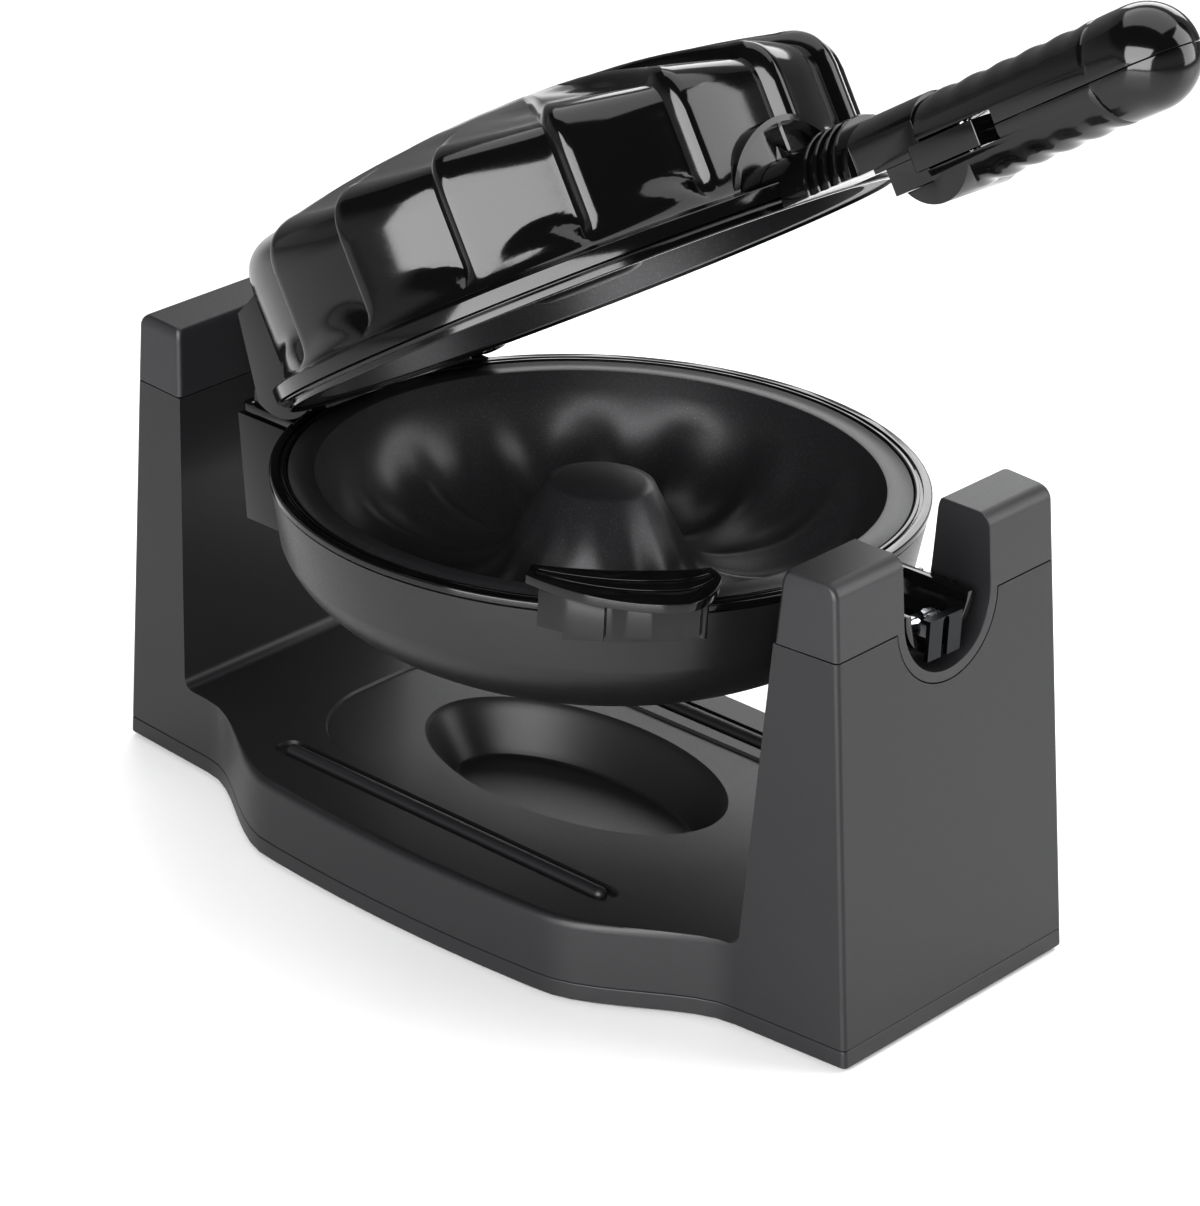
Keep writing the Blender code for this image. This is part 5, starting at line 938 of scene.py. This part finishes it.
lobes = {
    "Lobes": 16, "Axis X": head_x, "First crease": math.radians(2.8), "Rise": 0.12, "Depth": 0.0044,
    "Foot": 0.0105, "Foot run": 0.0080, "Hump": 0.0050, "Crown radius": 0.0300, "Crown run": 0.0320}
steps = (0, 0.015, 0.035, 0.06, 0.09, 0.12, 0.18, 0.25, 0.33, 0.41, 0.49, 0.57, 0.65, 0.73, 0.81, 0.88,
         0.94, 0.98)
past_crease = 0.0005
angles = [lobes["First crease"] + math.tau * (lobe + share + past_crease) / lobes["Lobes"]
          for lobe in range(lobes["Lobes"]) for share in steps]
section = [(0.1077, 0.0042)] + arc((0.1071, 0.0082), 0.0006, 0, 90, 3)
section += [(0.1060, 0.0090)] + bezier((0.1060, 0.0090), (0.1022, 0.0094), (0.102, 0.0165), 8)
section += [(0.102, 0.0165 + 0.0260 * i / 14) for i in range(1, 14)]
section += [(0.1018, 0.0425)] + bezier((0.1018, 0.0425), (0.1010, 0.0547), (0.0870, 0.0562), 14)
section += [(0.0870 * share, 0.0670 - 0.0108 * share * share)
            for share in (0.93, 0.86, 0.79, 0.72, 0.65, 0.58, 0.5, 0.35, 0.2, 0.06)]
dome = [[(head_x + r * math.cos(a), r * math.sin(a), z) for a in angles] for r, z in section]
dome = as_object("dome", skin(dome))
grow(dome, lobe_tree(lobes, gloss), lobes)

# Inside and opening of the lid. An even wall, and an arch in its right side for the arm, with a
# raised rim moulded round it.
inner = [(0, 0), (0.0976, 0), (0.0976, 0.0105), (0.0948, 0.0145), (0.0948, 0.036)]
inner += bezier((0.0948, 0.036), (0.0923, 0.0483), (0.0728, 0.0545), 10) + [(0.04, 0.0616), (0, 0.0627)]
hollow = as_object("hollow", turned(inner, 128, centre=head))
keep = as_object("keep", disc(0.0283, head_x, 0.165, 96, "X"))
cut(keep, "behind", disc(0.0967, -0.16, 0.16, 128, centre=head))
combine(dome, combine(hollow, keep))
arch, arch_floor = 0.0265, 0.0088
pocket = as_object("pocket", disc(arch, head_x, 0.165, 96, "X"))
cut(pocket, "below", box((0, -0.03, -0.03), (0.165, 0.03, arch_floor)))
cut(pocket, "face", disc(0.0985, -0.16, 0.16, 128, centre=head))
combine(dome, pocket)
start = math.degrees(math.asin(arch_floor / arch))
rim = arc((0, 0), 0.0284, start, 180 - start, 40) + arc((0, 0), 0.0264, 180 - start, start, 40)
rim = as_object("pocket rim", prism(rim, "YZ", 0.06, 0.13))
combine(rim, as_object("outside", disc(0.1034, 0.0090, 0.04, 144, centre=head)), "INTERSECT")
cut(rim, "inside", disc(0.0968, -0.01, 0.05, 144, centre=head))
combine(dome, rim, "UNION")
dress(dome, gloss, "lid", "lid_shell", crease=30)

# Ring of the lid. Glossy black, with a lip that closes into the groove of the bowl's ring.
top = 0.0039
ring = [(0.1027, 0.0004), (0.1044, 0.0004), (0.1048, 0.0008), (0.1048, 0.0015), (0.1037, 0.0015),
        (0.1037, 0.0026), (0.1060, top - 0.0013)]
ring += arc((0.1064, top - 0.0004), 0.0004, -60, 60, 4) + [(0.1027, top)]
dress(as_object("lid_ring", turned(ring, 144, centre=head)), gloss, "lid", "lid_bezel")

# Neck. The lid's half of the journal with its fins, a square neck and keel behind it, and the tongue
# that runs into the grip, all in one glossy moulding with the arm that reaches into the dome.
neck = as_object("neck", half_round(0.0162, 0.0493, 0.1726, 1, 0.0006))
around = as_object("around", box((0.1455, -0.05, -0.05), (0.1766, 0.05, 0.05)))
cut(around, "core", box((0.14, -0.013, -0.06), (0.18, 0.013, 0.06)))
combine(neck, around)
join(neck, "block", box((0.152, -0.013, -0.001), (0.1726, 0.013, 0.008)))
join(neck, "keel", box((0.1565, -0.01274, -0.0095), (0.1726, 0.01274, 0.0053)))
tongue = rounded_box((0.1686, -0.0148), (0.196, 0.0148), 0.0006, 4)
join(neck, "tongue", prism(tongue, "XY", -0.0055, 0.0025))
slot = rounded_box((0.1771, -0.0023), (0.1909, 0.0023), 0.002, 6)
cut(neck, "slot", prism(slot, "XY", -0.01, 0.01))
room = [(0, -0.0036), (0.108, -0.0036), (0.108, 0.0091), (0.0988, 0.0091), (0.0988, 0.16), (0, 0.16)]
cut(neck, "flange clearance", turned(room, 144, centre=head))
dress(soften(neck, 0.0006), gloss, "lid", "handle_neck")
dress(fin_row("upper fins", 1, 0.0006), gloss, "lid")

# Grip. Two glossy halves screwed together round the tongue, rippled for the fingers above and below,
# flat at the sides, with a ball end behind a fine crease; the lower one has a round heel.
grip_radius, grip_start, grip_crease, ball_centre, ripple_pitch = 0.016, 0.1735, 0.242, 0.2527, 0.012


def grip_stations():
    """Places along the grip, its radius there and how deep its ripple is, from 0 to 1."""
    stations = []
    for i in range(97):
        x = grip_start + (ball_centre - grip_start) * i / 96
        ripple = 0.5 + 0.5 * math.cos(math.tau * (x - grip_start) / ripple_pitch)
        crease = 0.0005 * max(0, 1 - abs(x - grip_crease) / 0.0009)
        stations.append((x, grip_radius - crease, ripple if x < grip_crease else 0))
    for turn in map(math.radians, range(6, 87, 6)):
        stations.append((ball_centre + grip_radius * math.sin(turn), grip_radius * math.cos(turn), 0))
    return stations


def grip_half(name, up):
    """One half from the seam outwards, open at the slot that runs over or under the tongue.

    The seam lies 1.7 mm below the middle of the grip, whose round is 0.5 mm below the arm's axis.
    """
    seam, drop, half_width = -0.0017 + up * 0.00015, 0.0005, 0.0155
    depth = 0.0005 if up > 0 else 0.0008
    rings = []
    for x, radius, ripple in grip_stations():
        start = math.degrees(math.asin(max(min((seam + drop) / radius, 1), -1)))
        ring = []
        for y, z in arc((0, 0), radius, start, 180 - start if up > 0 else -180 - start, 36):
            z -= depth * ripple * up * (z / radius) ** 4
            ring.append((x, max(min(y, half_width), -half_width), z - drop))
        rings.append(ring)
    half = as_object(name, skin(rings))
    if up < 0:
        heel = as_object("heel", disc(0.0153, -0.014, 0.014, 72, "Y", (0.1750, 0, -0.0015)))
        cut(heel, "keel clearance", box((0.14, -0.02, -0.0098), (grip_start, 0.02, 0.02)))
        cut(heel, "above heel", box((0.155, -0.02, -0.0061), (0.2042, 0.02, 0.02)))
        combine(half, heel, "UNION")
    cut(half, "slot", box((0, -0.02, -0.0061), (0.2042, 0.02, 0.0032)))
    low, high = sorted((0, up * 0.0112))
    cut(half, "pin seat", disc(0.0023, low, high, 24, centre=(0.1800, 0, 0)))
    return soften(half, 0.0005)


dress(grip_half("grip_top", 1), gloss, "grip", "grip_upper_half")
dress(grip_half("grip_bottom", -1), gloss, "grip", "grip_lower_half")
pin = [(0, -0.0109), (0.0017, -0.0109), (0.002, -0.0106), (0.002, 0.0106), (0.0017, 0.0109), (0, 0.0109)]
dress(as_object("slide_rod", turned(pin, 32, centre=(0.1800, 0, 0))), turned_steel, "grip", "slide_pin")
